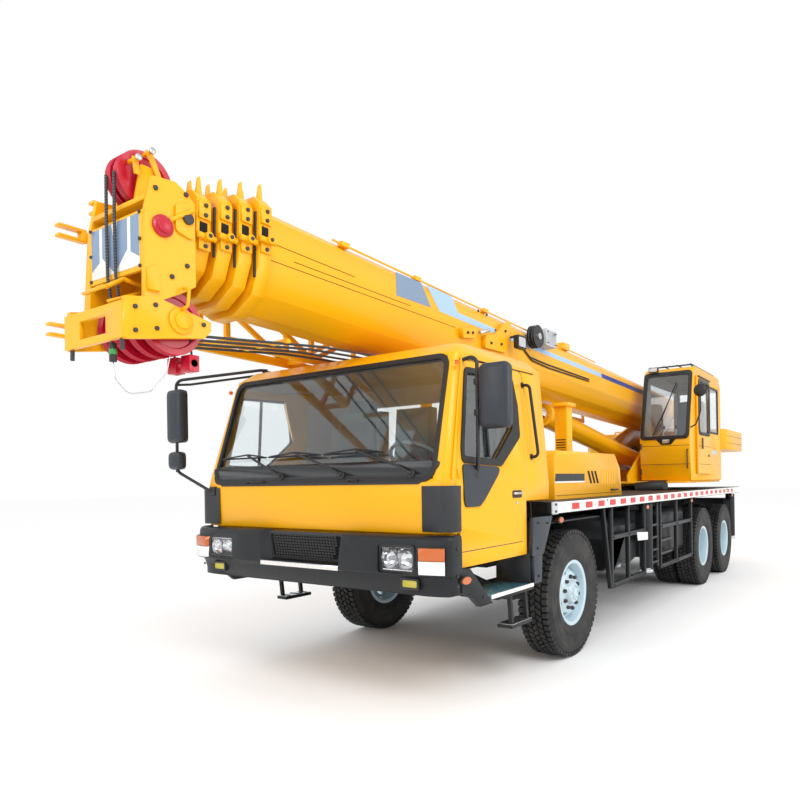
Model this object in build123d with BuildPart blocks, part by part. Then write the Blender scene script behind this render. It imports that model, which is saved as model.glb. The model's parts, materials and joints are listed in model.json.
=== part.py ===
"""Three-axle truck crane with a five-section telescopic boom, stowed for the road.

Millimetres. +X points forward, +Y to the driver's left, +Z up. The origin lies on the ground,
midway between the hoist block at the nose and the counterweight at the tail.
"""

from build123d import *
from math import cos, radians, sin, tan
import os

os.makedirs("parts", exist_ok=True)

# ---------------------------------------------------------------- driving sizes
nose_reach = 3410            # front axle to the front of the hoist block
tail_reach = 7450            # front axle to the back of the counterweight
front_axle_x = (tail_reach - nose_reach) / 2
wheelbase = 4390             # front axle to the first rear axle
tandem_gap = 1350            # between the two rear axles
half_width = 1250            # half the body's width
running_gap = 6              # air between pieces that move past each other
pin_gap = 0.5                # radial play of a pin in its bore
slide_gap = 0.8              # play of a beam or boom section on its pads

tyre_radius = 540
tyre_sides = 28              # flats round a tyre
rim_sides = 16               # flats round a rim, a sheave or a drum
tyre_width = 290
front_wheel_y = 1045         # centre of a front tyre
dual_y = 932                 # centre of a rear pair
dual_half = 165              # pair centre to each tyre's centre
rim_radius = 254
rim_wall = 14
rim_half = 105               # wheel middle to the inside of a rim's flange
flange_radius = 283
flange_wall = 11
bead_gap = 0.3               # air between a tyre and its rim
hub_bore = 42

kingpin_y = 870
kingpin_radius = 24

frame_half = 440             # outside of the chassis rails
rail_wall = 110
rail_low = 760
rail_top_front = 950
rail_top = 1180
tow_bore = 20                # radius of the tow pin's bore at the tail
deck_top = 1340
deck_plate = 16
edge_rail_low = 1240

box_x = {"front": -2050, "rear": -6550}   # outrigger boxes, behind the front axle
beam_width = 165
beam_height = 230
beam_pitch = 190             # between the left and the right beam of one box
beam_low = 905
beam_inner_end = -1090
box_half = 1090
jack_y = 1175
jack_radius = 72
jack_rod_radius = 50
jack_low = 520

bumper_back = 1895           # front axle to the back of the bumper's face

cab_half = half_width - 50
cab_low = 965
belt_z = 1500
cab_roof_half = half_width - 120
cab_wall = 42
cab_corner = 78              # radius of the cab's front corners
cab_front_x = 1922           # front axle to the cab's front at the belt
screen_top_x = 1672          # front axle to the cab's front at the top of the windscreen
screen_top_z = 2360
cab_rear_x = 520
cab_foot_rear = 900
cab_roof_z = 2440
door_gap = 6

slew_x_behind = -4550        # slew centre, behind the front axle
ring_radius = 560
turntable_z = 1436
plate_y = 330                # inside of the boom support plates
plate_wall = 34
pivot_x_behind = -6950       # boom foot pin, behind the front axle
pivot_z = 2700
pivot_radius = 60
boom_slope = 2.0             # degrees, nose up

cylinder_foot = (-5000, 1830)    # lower pin of the luffing cylinder: behind the front axle, height
cylinder_eye = (-1250, 2360)     # upper pin
barrel_radius = 132
rod_radius = 95

boom_half = 300              # base section: half its width
boom_up = 165                # its top above the foot pin
boom_down = 445              # its bottom below the foot pin
boom_wall = 9
section_step = 27            # how much smaller each next section is, all round
collar_pitch = 120           # between one section's collar and the next
collar_length = 90
collar_lip = 42              # collar height above its section
head_along = nose_reach - pivot_x_behind - 400   # foot pin to the back of the head
base_front = head_along - 400    # foot pin to the front of the base section's collar
section_rear = 620           # foot pin to the rear of the second section


def ahead(distance):
    """X of a station measured forward from the front axle."""
    return front_axle_x + distance


def span_box(x, y, z, mode=Mode.ADD):
    """Box between two stations on each axis."""
    with Locations(((x[0] + x[1]) / 2, (y[0] + y[1]) / 2, (z[0] + z[1]) / 2)):
        Box(x[1] - x[0], y[1] - y[0], z[1] - z[0], mode=mode)


def side_prism(points, y0, y1, mode=Mode.ADD):
    """Prism of a side view outline, points (x, z), between two Y stations."""
    with BuildSketch(Plane.XZ.offset(-y1)) as outline:
        with BuildLine():
            Polyline(*points, close=True)
        make_face()
    extrude(outline.sketch, amount=y1 - y0, mode=mode)


def front_prism(points, x0, x1, mode=Mode.ADD):
    """Prism of a front view outline, points (y, z), between two X stations."""
    with BuildSketch(Plane.YZ.offset(x0)) as outline:
        with BuildLine():
            Polyline(*points, close=True)
        make_face()
    extrude(outline.sketch, amount=x1 - x0, mode=mode)


def top_prism(points, z0, z1, mode=Mode.ADD):
    """Prism of a plan outline, points (x, y), between two heights."""
    with BuildSketch(Plane.XY.offset(z0)) as outline:
        with BuildLine():
            Polyline(*points, close=True)
        make_face()
    extrude(outline.sketch, amount=z1 - z0, mode=mode)


def bar(start, end, radius, mode=Mode.ADD, sides=0):
    """Round bar between two points, or one with flats."""
    path = Vector(*end) - Vector(*start)
    with BuildSketch(Plane(origin=start, z_dir=path)) as section:
        if sides:
            RegularPolygon(radius, sides)
        else:
            Circle(radius)
    extrude(section.sketch, amount=path.length, mode=mode)


def faceted(outline, sides=rim_sides):
    """Turned solid of flats about the Y axis at the origin, from a closed outline of (radius, outward)."""
    half_turn = radians(180 / sides)
    angles = [half_turn * (2 * k + 1) for k in range(sides)]

    def ring(radius, outward):
        corner = radius / cos(half_turn)
        return [(corner * sin(a), outward, -corner * cos(a)) for a in angles]

    faces = []
    for near, far in zip(outline, outline[1:] + outline[:1]):
        a, b = ring(*near), ring(*far)
        for k in range(sides):
            corners = [a[k - 1], a[k], b[k], b[k - 1]]
            if near[0] == 0:
                corners.pop(0)
            elif far[0] == 0:
                corners.pop()
            if near[0] or far[0]:
                faces.append(Face(Wire.make_polygon(corners)))
    return Solid(Shell(faces))


def disc(radius, half, groove=0):
    """Turned outline of a disc about the Y axis, with a groove round its rim."""
    rim = [(radius, -half), (radius - groove, 0), (radius, half)] if groove else [(radius, -half), (radius, half)]
    return [(0, -half), *rim, (0, half)]


def square_bar(start, end, side):
    """Square bar between two points."""
    path = Vector(*end) - Vector(*start)
    with BuildSketch(Plane(origin=start, z_dir=path)) as section:
        Rectangle(side, side)
    extrude(section.sketch, amount=path.length)


def save(builder, label):
    """Label a finished piece and write its STEP file."""
    builder.part.label = label
    export_step(builder.part, f"parts/{label}.step")


rear_axle_x = {"mid": ahead(-wheelbase), "rear": ahead(-wheelbase - tandem_gap)}
slew_x = ahead(slew_x_behind)
pivot_x = ahead(pivot_x_behind)

# ---------------------------------------------------------------- chassis frame
with BuildPart() as chassis_frame:
    rail_side = [
        (ahead(bumper_back), rail_low + 60), (ahead(bumper_back), rail_top_front), (ahead(250), rail_top_front),
        (ahead(-150), rail_top), (ahead(-6930), rail_top), (ahead(-6930), rail_low + 100),
        (ahead(-6200), rail_low), (ahead(-3850), rail_low), (ahead(-3650), rail_low - 110),
        (ahead(-900), rail_low - 110), (ahead(-700), rail_low), (ahead(900), rail_low),
    ]
    side_prism(rail_side, frame_half - rail_wall, frame_half)
    mirror(about=Plane.XZ)
    inner = frame_half - rail_wall
    for x in (1770, 760, -3200, -6880):
        span_box((ahead(x), ahead(x + 50)), (-inner, inner), (rail_low + 70, rail_top_front - 10))
    span_box((ahead(-6930), ahead(-1560)), (-inner, inner), (rail_top - 20, rail_top))
    with Locations((slew_x, 0, rail_top)):
        Cylinder(ring_radius, deck_top + 60 - rail_top, align=(Align.CENTER, Align.CENTER, Align.MIN))
    for x in box_x.values():
        box_x_half = beam_pitch / 2 + beam_width / 2 + slide_gap + 14
        z_low = beam_low - slide_gap - 14
        z_high = beam_low + beam_height + slide_gap + 14
        span_box((ahead(x) - box_x_half, ahead(x) + box_x_half), (-box_half, box_half), (z_low, z_high))
        for side in (1, -1):
            mid = ahead(x) + side * beam_pitch / 2
            half = beam_width / 2 + slide_gap
            channel_z = (beam_low - slide_gap, beam_low + beam_height + slide_gap)
            channel_y = (beam_inner_end - 12, box_half + 1) if side > 0 else (-box_half - 1, -beam_inner_end + 12)
            span_box((mid - half, mid + half), channel_y, channel_z, mode=Mode.SUBTRACT)
    for side in (1, -1):
        for x in (1700, 1000):
            span_box((ahead(x - 40), ahead(x + 40)), sorted((side * 345, side * 425)), (rail_top_front, cab_low + 20))
    span_box((ahead(-6930), ahead(-6910)), (-inner, inner), (rail_low + 100, rail_top))
    for z in (900, 975):
        span_box((ahead(-7030), ahead(-6925)), (-60, 60), (z, z + 25))
    with Locations((ahead(-6985), 0, 950)):
        Cylinder(tow_bore, 120, mode=Mode.SUBTRACT)
save(chassis_frame, "chassis_frame")

# ---------------------------------------------------------------- deck
arch_reach = 690             # half the length of the front wheel arch
with BuildPart() as deck:
    edge_y = (half_width - 45, half_width)
    span_box((ahead(-6920), ahead(580)), edge_y, (edge_rail_low, deck_top))
    span_box((ahead(-6920), ahead(580)), (0, edge_y[0]), (deck_top - deck_plate, deck_top))
    span_box((ahead(-6920), ahead(-6880)), (0, edge_y[0]), (edge_rail_low, deck_top - deck_plate))
    for x in (520, -700, -1500, -2600, -3500, -5300, -6000):
        span_box((ahead(x), ahead(x + 45)), (frame_half, edge_y[0]), (edge_rail_low, deck_top - deck_plate))
    for x in (-1560, -3300, -5750):
        span_box((ahead(x), ahead(x + 60)), (300, frame_half + 20), (rail_top, deck_top - deck_plate))
    arch = [
        (ahead(arch_reach + 90), 930), (ahead(arch_reach), 1110), (ahead(arch_reach - 110), 1160),
        (ahead(110 - arch_reach), 1160), (ahead(-arch_reach), 1110), (ahead(-arch_reach - 60), 930),
        (ahead(-arch_reach - 74), 934), (ahead(-arch_reach - 12), 1120), (ahead(104 - arch_reach), 1174),
        (ahead(arch_reach - 104), 1174), (ahead(arch_reach + 12), 1120), (ahead(arch_reach + 104), 936),
    ]
    side_prism(arch, 700, half_width - 65)
    for x in (360, -360):
        span_box((ahead(x - 20), ahead(x + 20)), (800, 840), (1170, deck_top - deck_plate))
    mirror(about=Plane.XZ)
    with Locations((slew_x, 0, deck_top)):
        Cylinder(ring_radius + 30, 200, mode=Mode.SUBTRACT)
    span_box((ahead(-1480), ahead(40)), (-400, 400), (deck_top - 100, deck_top + 10), mode=Mode.SUBTRACT)
save(deck, "deck")

# ---------------------------------------------------------------- boom rest behind the cab
rest_x = ahead(200)


def boom_point(along, up=0.0, y=0.0):
    """Point at a distance along the boom from its foot pin and a height above that line."""
    c, s = cos(radians(boom_slope)), sin(radians(boom_slope))
    return (pivot_x + along * c - up * s, y, pivot_z + along * s + up * c)


def boom_height_at(x, up):
    """Height of a line that runs parallel to the boom, where it crosses a station."""
    along = (x - pivot_x + up * sin(radians(boom_slope))) / cos(radians(boom_slope))
    return boom_point(along, up)[2]


rest_top = boom_height_at(rest_x - 60, -boom_down) - running_gap
with BuildPart() as boom_rest:
    for side in (1, -1):
        front_prism(
            [(side * 420, deck_top), (side * 500, deck_top), (side * 200, rest_top - 30), (side * 120, rest_top - 30)],
            rest_x - 40, rest_x + 40)
    span_box((rest_x - 55, rest_x + 55), (-215, 215), (rest_top - 60, rest_top))
save(boom_rest, "boom_rest")

# ---------------------------------------------------------------- side guards, ladder and steps
with BuildPart() as guards:
    guard_y = (half_width - 60, half_width - 20)
    guard_spans = [(-1790, -770), (-3750, -2330)]      # rear end, front end
    for rear, front in guard_spans:
        span_box((ahead(rear), ahead(front)), guard_y, (465, 510))
        span_box((ahead(rear), ahead(front)), guard_y, (925, 970))
        for x in (rear, (rear + front) / 2, front - 40):
            span_box((ahead(x), ahead(x + 40)), guard_y, (510, 925))
            span_box((ahead(x), ahead(x + 40)), guard_y, (970, edge_rail_low))
    side_prism(
        [(ahead(-600), edge_rail_low), (ahead(-560), edge_rail_low), (ahead(-740), 465), (ahead(-780), 465)],
        *guard_y)
    for z in (620, 770):
        span_box((ahead(-2790), ahead(-2370)), guard_y, (z, z + 30))
    mirror(about=Plane.XZ)
save(guards, "guards")

step_z = (705, 965)
with BuildPart() as cab_steps:
    span_box((ahead(880), ahead(1400)), (930, half_width - 10), (705, 735))
    span_box((ahead(880), ahead(900)), (930, half_width - 30), (735, step_z[1]))
    for x in (930, 1150):
        side_prism(
            [(ahead(x), 705), (ahead(x + 30), 705), (ahead(x + 5), 490), (ahead(x - 25), 490)],
            half_width - 70, half_width - 40)
    span_box((ahead(880), ahead(1180)), (half_width - 150, half_width - 25), (465, 490))
    mirror(about=Plane.XZ)
save(cab_steps, "cab_steps")

# ---------------------------------------------------------------- front bumper
with BuildPart() as front_bumper:
    bumper_plan = [
        (ahead(1400), half_width), (ahead(1790), half_width), (ahead(1900), half_width - 90),
        (ahead(1945), half_width - 350), (ahead(1960), 300),
         (ahead(1960), -300), (ahead(1945), 350 - half_width),
        (ahead(1900), 90 - half_width), (ahead(1790), -half_width), (ahead(1400), -half_width),
        (ahead(1400), 38 - half_width), (ahead(1786), 38 - half_width), (ahead(1868), 102 - half_width),
        (ahead(bumper_back), 190 - half_width), (ahead(bumper_back), half_width - 190),
        (ahead(1868), half_width - 102),
        (ahead(1786), half_width - 38), (ahead(1400), half_width - 38),
    ]
    top_prism(bumper_plan, 700, 1180)
    bumper_side = [
        (ahead(1300), 700), (ahead(1500), 700), (ahead(1600), 795), (ahead(2000), 795),
        (ahead(2000), 1180), (ahead(1850), 1180), (ahead(1838), 1060), (ahead(1800), 962), (ahead(1300), 962),
    ]
    side_prism(bumper_side, -half_width - 10, half_width + 10, mode=Mode.INTERSECT)
    grille = [(-330, 1150), (-250, 980), (250, 980), (330, 1150)]
    front_prism(grille, ahead(1915), ahead(2000), mode=Mode.SUBTRACT)
    for side in (1, -1):
        lamp_y = sorted((side * 760, side * 1000))
        span_box((ahead(1915), ahead(2000)), lamp_y, (950, 1120), mode=Mode.SUBTRACT)
save(front_bumper, "front_bumper")

with BuildPart() as lamps:
    for side in (1, -1):
        lens_y = sorted((side * 763, side * 997))
        span_box((ahead(1915), ahead(1955)), lens_y, (953, 1117))
    for side in (1, -1):
        for y in (620, 850):
            span_box((ahead(-6960), ahead(-6920)), sorted((side * y, side * (y + 200))), (1080 + 165, 1080 + 255))
save(lamps, "lamps")

# ---------------------------------------------------------------- driver's cab
door_bottom = 1060
toe_x = 1850                 # front axle to the cab's foot, behind the bumper
toe_top = 1186


def cab_plan(z, front, rear, half, corner):
    """Level plan of the cab at a height, its two front corners rounded by flats."""
    turn = [(cos(radians(a)), sin(radians(a))) for a in (0, 30, 60, 90)]
    right = [(ahead(front) - corner * (1 - c), half - corner * (1 - s)) for c, s in turn]
    with BuildSketch(Plane.XY.offset(z)) as plan:
        with BuildLine():
            Polyline((ahead(rear), -half), (ahead(rear), half), *reversed(right),
                     *[(x, -y) for x, y in right], close=True)
        make_face()
    return plan.sketch


def cab_volume(inset):
    """Solid of the cab's outside, or of its inside when inset by the wall."""
    corner = cab_corner - inset
    side, roof_side = cab_half - inset, cab_roof_half - inset
    floor_z = deck_top + 20 + inset
    with BuildPart() as volume:
        loft([
            cab_plan(toe_top + inset, cab_front_x - 7 - inset, cab_rear_x + inset, side, corner),
            cab_plan(belt_z, cab_front_x - inset, cab_rear_x + inset, side, corner),
            cab_plan(screen_top_z, screen_top_x - inset, cab_rear_x + inset, roof_side, corner),
            cab_plan(cab_roof_z - inset, screen_top_x - 112 - inset, cab_rear_x + 80 + inset, roof_side - 70, corner),
        ], ruled=True)
        foot = cab_plan(cab_low + inset, toe_x - inset, cab_foot_rear + inset, side, corner)
        extrude(foot, amount=toe_top - cab_low + 2)
        span_box((ahead(0), ahead(cab_foot_rear + inset)), (-half_width, half_width), (900, floor_z), mode=Mode.SUBTRACT)
    return volume.part


cab_outside = cab_volume(0)
cab_inside = cab_volume(cab_wall)

door_outline = [
    (ahead(960), door_bottom), (ahead(1820), door_bottom), (ahead(1830), belt_z),
    (ahead(1650), 2310), (ahead(870), 2340), (ahead(880), 1480),
]
door_window = [
    (ahead(1150), 2255), (ahead(1030), 1884), (ahead(1316), 1642), (ahead(1730), 1655), (ahead(1600), 2245),
]


windscreen_low, windscreen_high = 1530, 2335
windscreen_half = {"low": cab_half - 115, "high": cab_half - 150}


def windscreen(gap):
    """Front view of the windscreen's opening, or of the pane with air round it."""
    low_y, high_y = windscreen_half["low"] - gap, windscreen_half["high"] - gap
    low_z, high_z = windscreen_low + gap, windscreen_high - gap
    return [(-low_y, low_z), (low_y, low_z), (high_y, high_z), (-high_y, high_z)]


cab_hinge_radius = 12
cab_hinge_x = ahead(1834)
cab_hinge_y = cab_half + pin_gap + cab_hinge_radius


def inset_outline(points, gap):
    """The same outline, moved inwards by a gap."""
    with BuildSketch(Plane.XZ) as shape:
        with BuildLine():
            Polyline(*points, close=True)
        make_face()
        if gap:
            offset(amount=-gap, kind=Kind.INTERSECTION)
    return shape.sketch


def cab_wall_cut(outline, side, backing=0):
    """Prism of an outline through one side wall. Below the belt it ends a backing behind the wall."""
    outer, inner = cab_half + 100, cab_half - 400
    start = inner if side > 0 else -outer
    with BuildPart() as cut:
        extrude(outline.moved(Location((0, start, 0))), amount=outer - inner, dir=(0, 1, 0))
        wall_back = sorted((0, side * (cab_half - cab_wall - backing)))
        span_box((ahead(0), ahead(cab_front_x)), wall_back, (cab_low, belt_z), mode=Mode.SUBTRACT)
    return cut.part


with BuildPart() as cab_shell:
    add(cab_outside)
    add(cab_inside, mode=Mode.SUBTRACT)
    for side in (1, -1):
        add(cab_wall_cut(inset_outline(door_outline, 0), side, backing=door_gap), mode=Mode.SUBTRACT)
    front_prism(windscreen(0), ahead(1600), ahead(2000), mode=Mode.SUBTRACT)
    rear_window = [(-700, 1700), (700, 1700), (700, 2200), (-700, 2200)]
    front_prism(rear_window, ahead(500), ahead(600), mode=Mode.SUBTRACT)
    span_box((ahead(850), ahead(1900)), (-frame_half - 40, frame_half + 40), (cab_low - 10, cab_low + 20), mode=Mode.SUBTRACT)
save(cab_shell, "cab_shell")

glass_wall = 8
glass_setback = 18
fit_gap = 0.4                # air round a pane in its opening


def screen_x(z):
    """X of the cab's sloping front face at a height."""
    return ahead(cab_front_x - (z - belt_z) * (cab_front_x - screen_top_x) / (screen_top_z - belt_z))


with BuildPart() as cab_glass:
    low, high = windscreen_low, windscreen_high
    side_prism([
        (screen_x(low) - glass_setback, low), (screen_x(low) - glass_setback - glass_wall, low),
        (screen_x(high) - glass_setback - glass_wall, high), (screen_x(high) - glass_setback, high),
    ], -windscreen_half["low"], windscreen_half["low"])
    front_prism(windscreen(fit_gap), ahead(1600), ahead(2000), mode=Mode.INTERSECT)
    rear_y, rear_z = 700 - fit_gap, (1700 + fit_gap, 2200 - fit_gap)
    span_box((ahead(535), ahead(535 + glass_wall)), (-rear_y, rear_y), rear_z)
save(cab_glass, "cab_glass")

for side, name in ((1, "left"), (-1, "right")):
    door_solid = cab_wall_cut(inset_outline(door_outline, door_gap), side)
    window_cut = cab_wall_cut(inset_outline(door_window, 0), side)
    with BuildPart() as cab_door:
        add(cab_outside)
        add(cab_inside, mode=Mode.SUBTRACT)
        add(door_solid, mode=Mode.INTERSECT)
        add(window_cut, mode=Mode.SUBTRACT)
        for z in (1260, 1440):
            with Locations((cab_hinge_x, side * cab_hinge_y, z)):
                Cylinder(cab_hinge_radius, 60)
            leaf_y = sorted((side * (cab_half - 10), side * (cab_half + 5)))
            span_box((cab_hinge_x - 60, cab_hinge_x - 14), leaf_y, (z - 30, z + 30))
            leaf_y = sorted((side * (cab_half + pin_gap), side * (cab_half + 7)))
            span_box((cab_hinge_x - 60, cab_hinge_x), leaf_y, (z - 30, z + 30))
    save(cab_door, f"cab_door_{name}")
    pane = cab_wall_cut(inset_outline(door_window, 0.4), side)
    pane_outer = cab_volume(16)
    pane_inner = cab_volume(16 + glass_wall)
    with BuildPart() as cab_door_glass:
        add(pane_outer)
        add(pane_inner, mode=Mode.SUBTRACT)
        add(pane, mode=Mode.INTERSECT)
    save(cab_door_glass, f"cab_door_glass_{name}")

seat_low = deck_top + 20 + cab_wall
with BuildPart() as cab_interior:
    dash = [
        (ahead(1873), 1230), (ahead(1878), 1480), (ahead(1560), 1500), (ahead(1480), 1420), (ahead(1540), 1230),
    ]
    side_prism(dash, 120 - cab_half, cab_half - 120)
    for y, width in ((620, 260), (-620, 260), (0, 180)):
        side_prism([
            (ahead(700), seat_low), (ahead(1180), seat_low), (ahead(1200), 1560), (ahead(760), 1550),
            (ahead(700), 2150), (ahead(590), 2150), (ahead(610), 1450)], y - width, y + width)
    with BuildSketch(Plane(origin=(ahead(1440), 620, 1640), z_dir=(-0.75, 0, 1))):
        RegularPolygon(235, rim_sides)
        RegularPolygon(215, rim_sides, mode=Mode.SUBTRACT)
        Rectangle(440, 36)
    extrude(amount=26)
    bar((ahead(1438), 620, 1643), (ahead(1560), 620, 1480), 26, sides=12)
save(cab_interior, "cab_interior")

# ---------------------------------------------------------------- mirrors on the cab
with BuildPart() as cab_mirrors:
    for side in (1, -1):
        box_y = sorted((side * 1350, side * 1550))
        span_box((ahead(1965), ahead(2045)), box_y, (1830, 2230))
        bar((ahead(2005), side * 1450, 1640), (ahead(2005), side * 1450, 2370), 14, sides=8)
        bar((ahead(2005), side * 1450, 2370), (ahead(1470), side * (cab_roof_half - 170), cab_roof_z + 32), 12, sides=8)
        foot_y = sorted((side * (cab_roof_half - 200), side * (cab_roof_half - 140)))
        span_box((ahead(1440), ahead(1500)), foot_y, (cab_roof_z, cab_roof_z + 36))
        bar((ahead(2005), side * 1450, 1640), (ahead(1936), side * (cab_half - 120), 1460), 14, sides=8)
        pad_y = sorted((side * (cab_half - 150), side * (cab_half - 90)))
        span_box((ahead(cab_front_x + 0.3), ahead(1945)), pad_y, (1430, 1490))
save(cab_mirrors, "cab_mirrors")

# ---------------------------------------------------------------- engine, hood and air intake
with BuildPart() as engine_block:
    side_prism([
        (ahead(-1300), 700), (ahead(20), 700), (ahead(20), 1500), (ahead(-1000), 1560), (ahead(-1300), 1300)],
        -310, 310)
    for side in (1, -1):
        span_box((ahead(-700), ahead(-500)), sorted((side * 310, side * 330)), (850, 950))
save(engine_block, "engine_block")

hood_front, hood_rear = 120, -1530
hood_top = 1765
with BuildPart() as engine_hood:
    hood_side = [
        (ahead(hood_rear), deck_top), (ahead(hood_front), deck_top), (ahead(hood_front), hood_top - 55),
        (ahead(hood_front - 55), hood_top), (ahead(hood_rear + 200), hood_top), (ahead(hood_rear + 50), 1620),
    ]
    side_prism(hood_side, 410, 1060)
    mirror(about=Plane.XZ)
    side_prism([
        (ahead(hood_rear), deck_top), (ahead(hood_rear + 50), 1600), (ahead(hood_rear + 160), 1640),
        (ahead(hood_front), 1680), (ahead(hood_front), 1640), (ahead(hood_rear + 170), 1600),
        (ahead(hood_rear + 90), 1560), (ahead(hood_rear + 40), deck_top)], -410, 410)
    span_box((ahead(-900), ahead(-770)), (650, 780), (hood_top - 100, 2240))
    span_box((ahead(-930), ahead(-740)), (620, 810), (2240, 2275))
save(engine_hood, "engine_hood")

# ---------------------------------------------------------------- tanks and boxes on the frame
with BuildPart() as tanks:
    tank_table = [                 # rear end, front end, side, low, high
        (-3600, -2500, 1, 560, 1130), (-1700, -900, 1, 600, 1100),
        (-3500, -2500, -1, 540, 1120), (-1700, -850, -1, 600, 1120),
    ]
    for rear, front, side, low, high in tank_table:
        front_prism([
            (side * frame_half, low + 60), (side * frame_half, high), (side * (half_width - 170), high),
            (side * (half_width - 100), high - 70), (side * (half_width - 100), low + 70),
            (side * (half_width - 170), low), (side * (frame_half + 60), low)],
            ahead(rear), ahead(front))
save(tanks, "tanks")

# ---------------------------------------------------------------- axles, springs and prop shafts
with BuildPart() as axles:
    beam_front = [
        (-905, 505), (-905, 575), (-760, 575), (-600, 520), (600, 520), (760, 575), (905, 575),
        (905, 505), (740, 480), (600, 430), (-600, 430), (-740, 480),
    ]
    front_prism(beam_front, front_axle_x - 50, front_axle_x + 50)
    for side in (1, -1):
        with Locations((front_axle_x, side * kingpin_y, tyre_radius)):
            Cylinder(kingpin_radius + pin_gap, 200, mode=Mode.SUBTRACT)
            Cylinder(120, 200, mode=Mode.SUBTRACT)
        with Locations((front_axle_x, side * kingpin_y, tyre_radius)):
            Cylinder(36, 68)
            Cylinder(kingpin_radius + pin_gap, 200, mode=Mode.SUBTRACT)
        front_prism([(side * 740, 508), (side * 740, 572), (side * 845, 572), (side * 845, 508)],
                    front_axle_x - 34, front_axle_x + 34)
        side_prism([
            (ahead(-620), 760), (ahead(-560), 760), (ahead(-160), 600), (ahead(160), 600), (ahead(560), 760),
            (ahead(620), 760), (ahead(620), 700), (ahead(200), 520), (ahead(-200), 520), (ahead(-620), 700)],
            *sorted((side * 345, side * 425)))
    for x in rear_axle_x.values():
        bar((x, -1105, tyre_radius), (x, 1105, tyre_radius), hub_bore - pin_gap)
        bar((x, -720, tyre_radius), (x, 720, tyre_radius), 76, sides=16)
        casing = [(0, -230), (76, -230), (150, -130), (185, -45), (185, 45), (150, 130), (76, 230), (0, 230)]
        add(faceted(casing, 16).moved(Location((x, 0, tyre_radius))))
    trunnion_x = (rear_axle_x["mid"] + rear_axle_x["rear"]) / 2
    for side in (1, -1):
        y_low, y_high = sorted((side * 470, side * 560))
        side_prism([
            (rear_axle_x["rear"] - 60, 600), (rear_axle_x["rear"] + 60, 600), (trunnion_x - 200, 720),
            (trunnion_x + 200, 720), (rear_axle_x["mid"] - 60, 600), (rear_axle_x["mid"] + 60, 600),
            (rear_axle_x["mid"] + 60, 640), (trunnion_x + 240, 800), (trunnion_x - 240, 800),
            (rear_axle_x["rear"] - 60, 640)], y_low, y_high)
        bar((trunnion_x, side * frame_half, 790), (trunnion_x, side * 560, 790), 60, sides=12)
    bar((rear_axle_x["mid"], 0, tyre_radius + 60), (ahead(-1304), 0, 800), 55, sides=12)
    bar((rear_axle_x["rear"], 0, tyre_radius), (rear_axle_x["mid"], 0, tyre_radius), 50, sides=12)
save(axles, "axles")

# ---------------------------------------------------------------- steering knuckles
for side, name in ((1, "left"), (-1, "right")):
    with BuildPart() as knuckle:
        for z in (-100, 40):
            ear_z = (tyre_radius + z, tyre_radius + z + 60)
            span_box((front_axle_x - 40, front_axle_x + 40), sorted((side * 835, side * 930)), ear_z)
        span_box((front_axle_x - 50, front_axle_x + 50), sorted((side * 916, side * 952)),
                 (tyre_radius - 100, tyre_radius + 100))
        with Locations((front_axle_x, side * kingpin_y, tyre_radius)):
            Cylinder(kingpin_radius, 190)
        bar((front_axle_x, side * 940, tyre_radius), (front_axle_x, side * 1130, tyre_radius), hub_bore - pin_gap)
    save(knuckle, f"knuckle_{name}")

# ---------------------------------------------------------------- wheels
tyre_side = [                  # radius, distance from the tyre's middle
    (flange_radius + 2, rim_half - bead_gap), (420, tyre_width / 2), (510, 130), (tyre_radius, 100),
]
tyre_outline = [(0, -rim_half + bead_gap)] + [(r, -w) for r, w in tyre_side]
tyre_outline += [(r, w) for r, w in reversed(tyre_side)] + [(0, rim_half - bead_gap)]
with BuildPart() as tyre_shape:
    add(faceted(tyre_outline, tyre_sides))
    add(faceted(disc(rim_radius + bead_gap, rim_half)), mode=Mode.SUBTRACT)


def barrel(middle):
    """Outline of a rim's seat and outer flange for a tyre whose middle lies this far outward."""
    out = middle + rim_half
    return [(rim_radius, out), (flange_radius, out + 1), (flange_radius, out + flange_wall)]


hollow_radius = rim_radius - rim_wall
wheel_kinds = {                # the outline's web and hub run from the outside of the barrel to its inside
    "single": {
        "tyre_middles": (0,),
        "web": [
            (hollow_radius, 34), (175, 85), (90, 95), (78, 135), (0, 135), (0, 100), (hub_bore, 100),
            (hub_bore, -60), (90, -60), (90, 76), (170, 68), (hollow_radius, 14)],
        "hole_radius": 202,
    },
    "dual": {
        "tyre_middles": (-dual_half, dual_half),
        "web": [
            (hollow_radius, 100), (150, 28), (100, 28), (100, 150), (70, 160), (70, 205), (0, 205), (0, 185),
            (hub_bore, 185), (hub_bore, -120), (100, -120), (100, 8), (150, 8), (hollow_radius, 78)],
        "hole_radius": 196,
    },
}
hand_holes = 8
hand_hole_radius = 30
for kind, shape in wheel_kinds.items():
    outer = barrel(shape["tyre_middles"][-1])
    inner = [(r, -out) for r, out in outer]
    outline = inner[::-1] + outer + [(hollow_radius, outer[-1][1])] + shape["web"] + [(hollow_radius, inner[-1][1])]
    with BuildPart() as rim_shape:
        add(faceted(outline))
        for hole in range(hand_holes):
            angle = radians((hole + 0.5) * 360 / hand_holes)
            hole_x, hole_z = shape["hole_radius"] * cos(angle), shape["hole_radius"] * sin(angle)
            bar((hole_x, 0, hole_z), (hole_x, 110, hole_z), hand_hole_radius, Mode.SUBTRACT, 6)
    shape["rim"] = rim_shape.part

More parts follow.
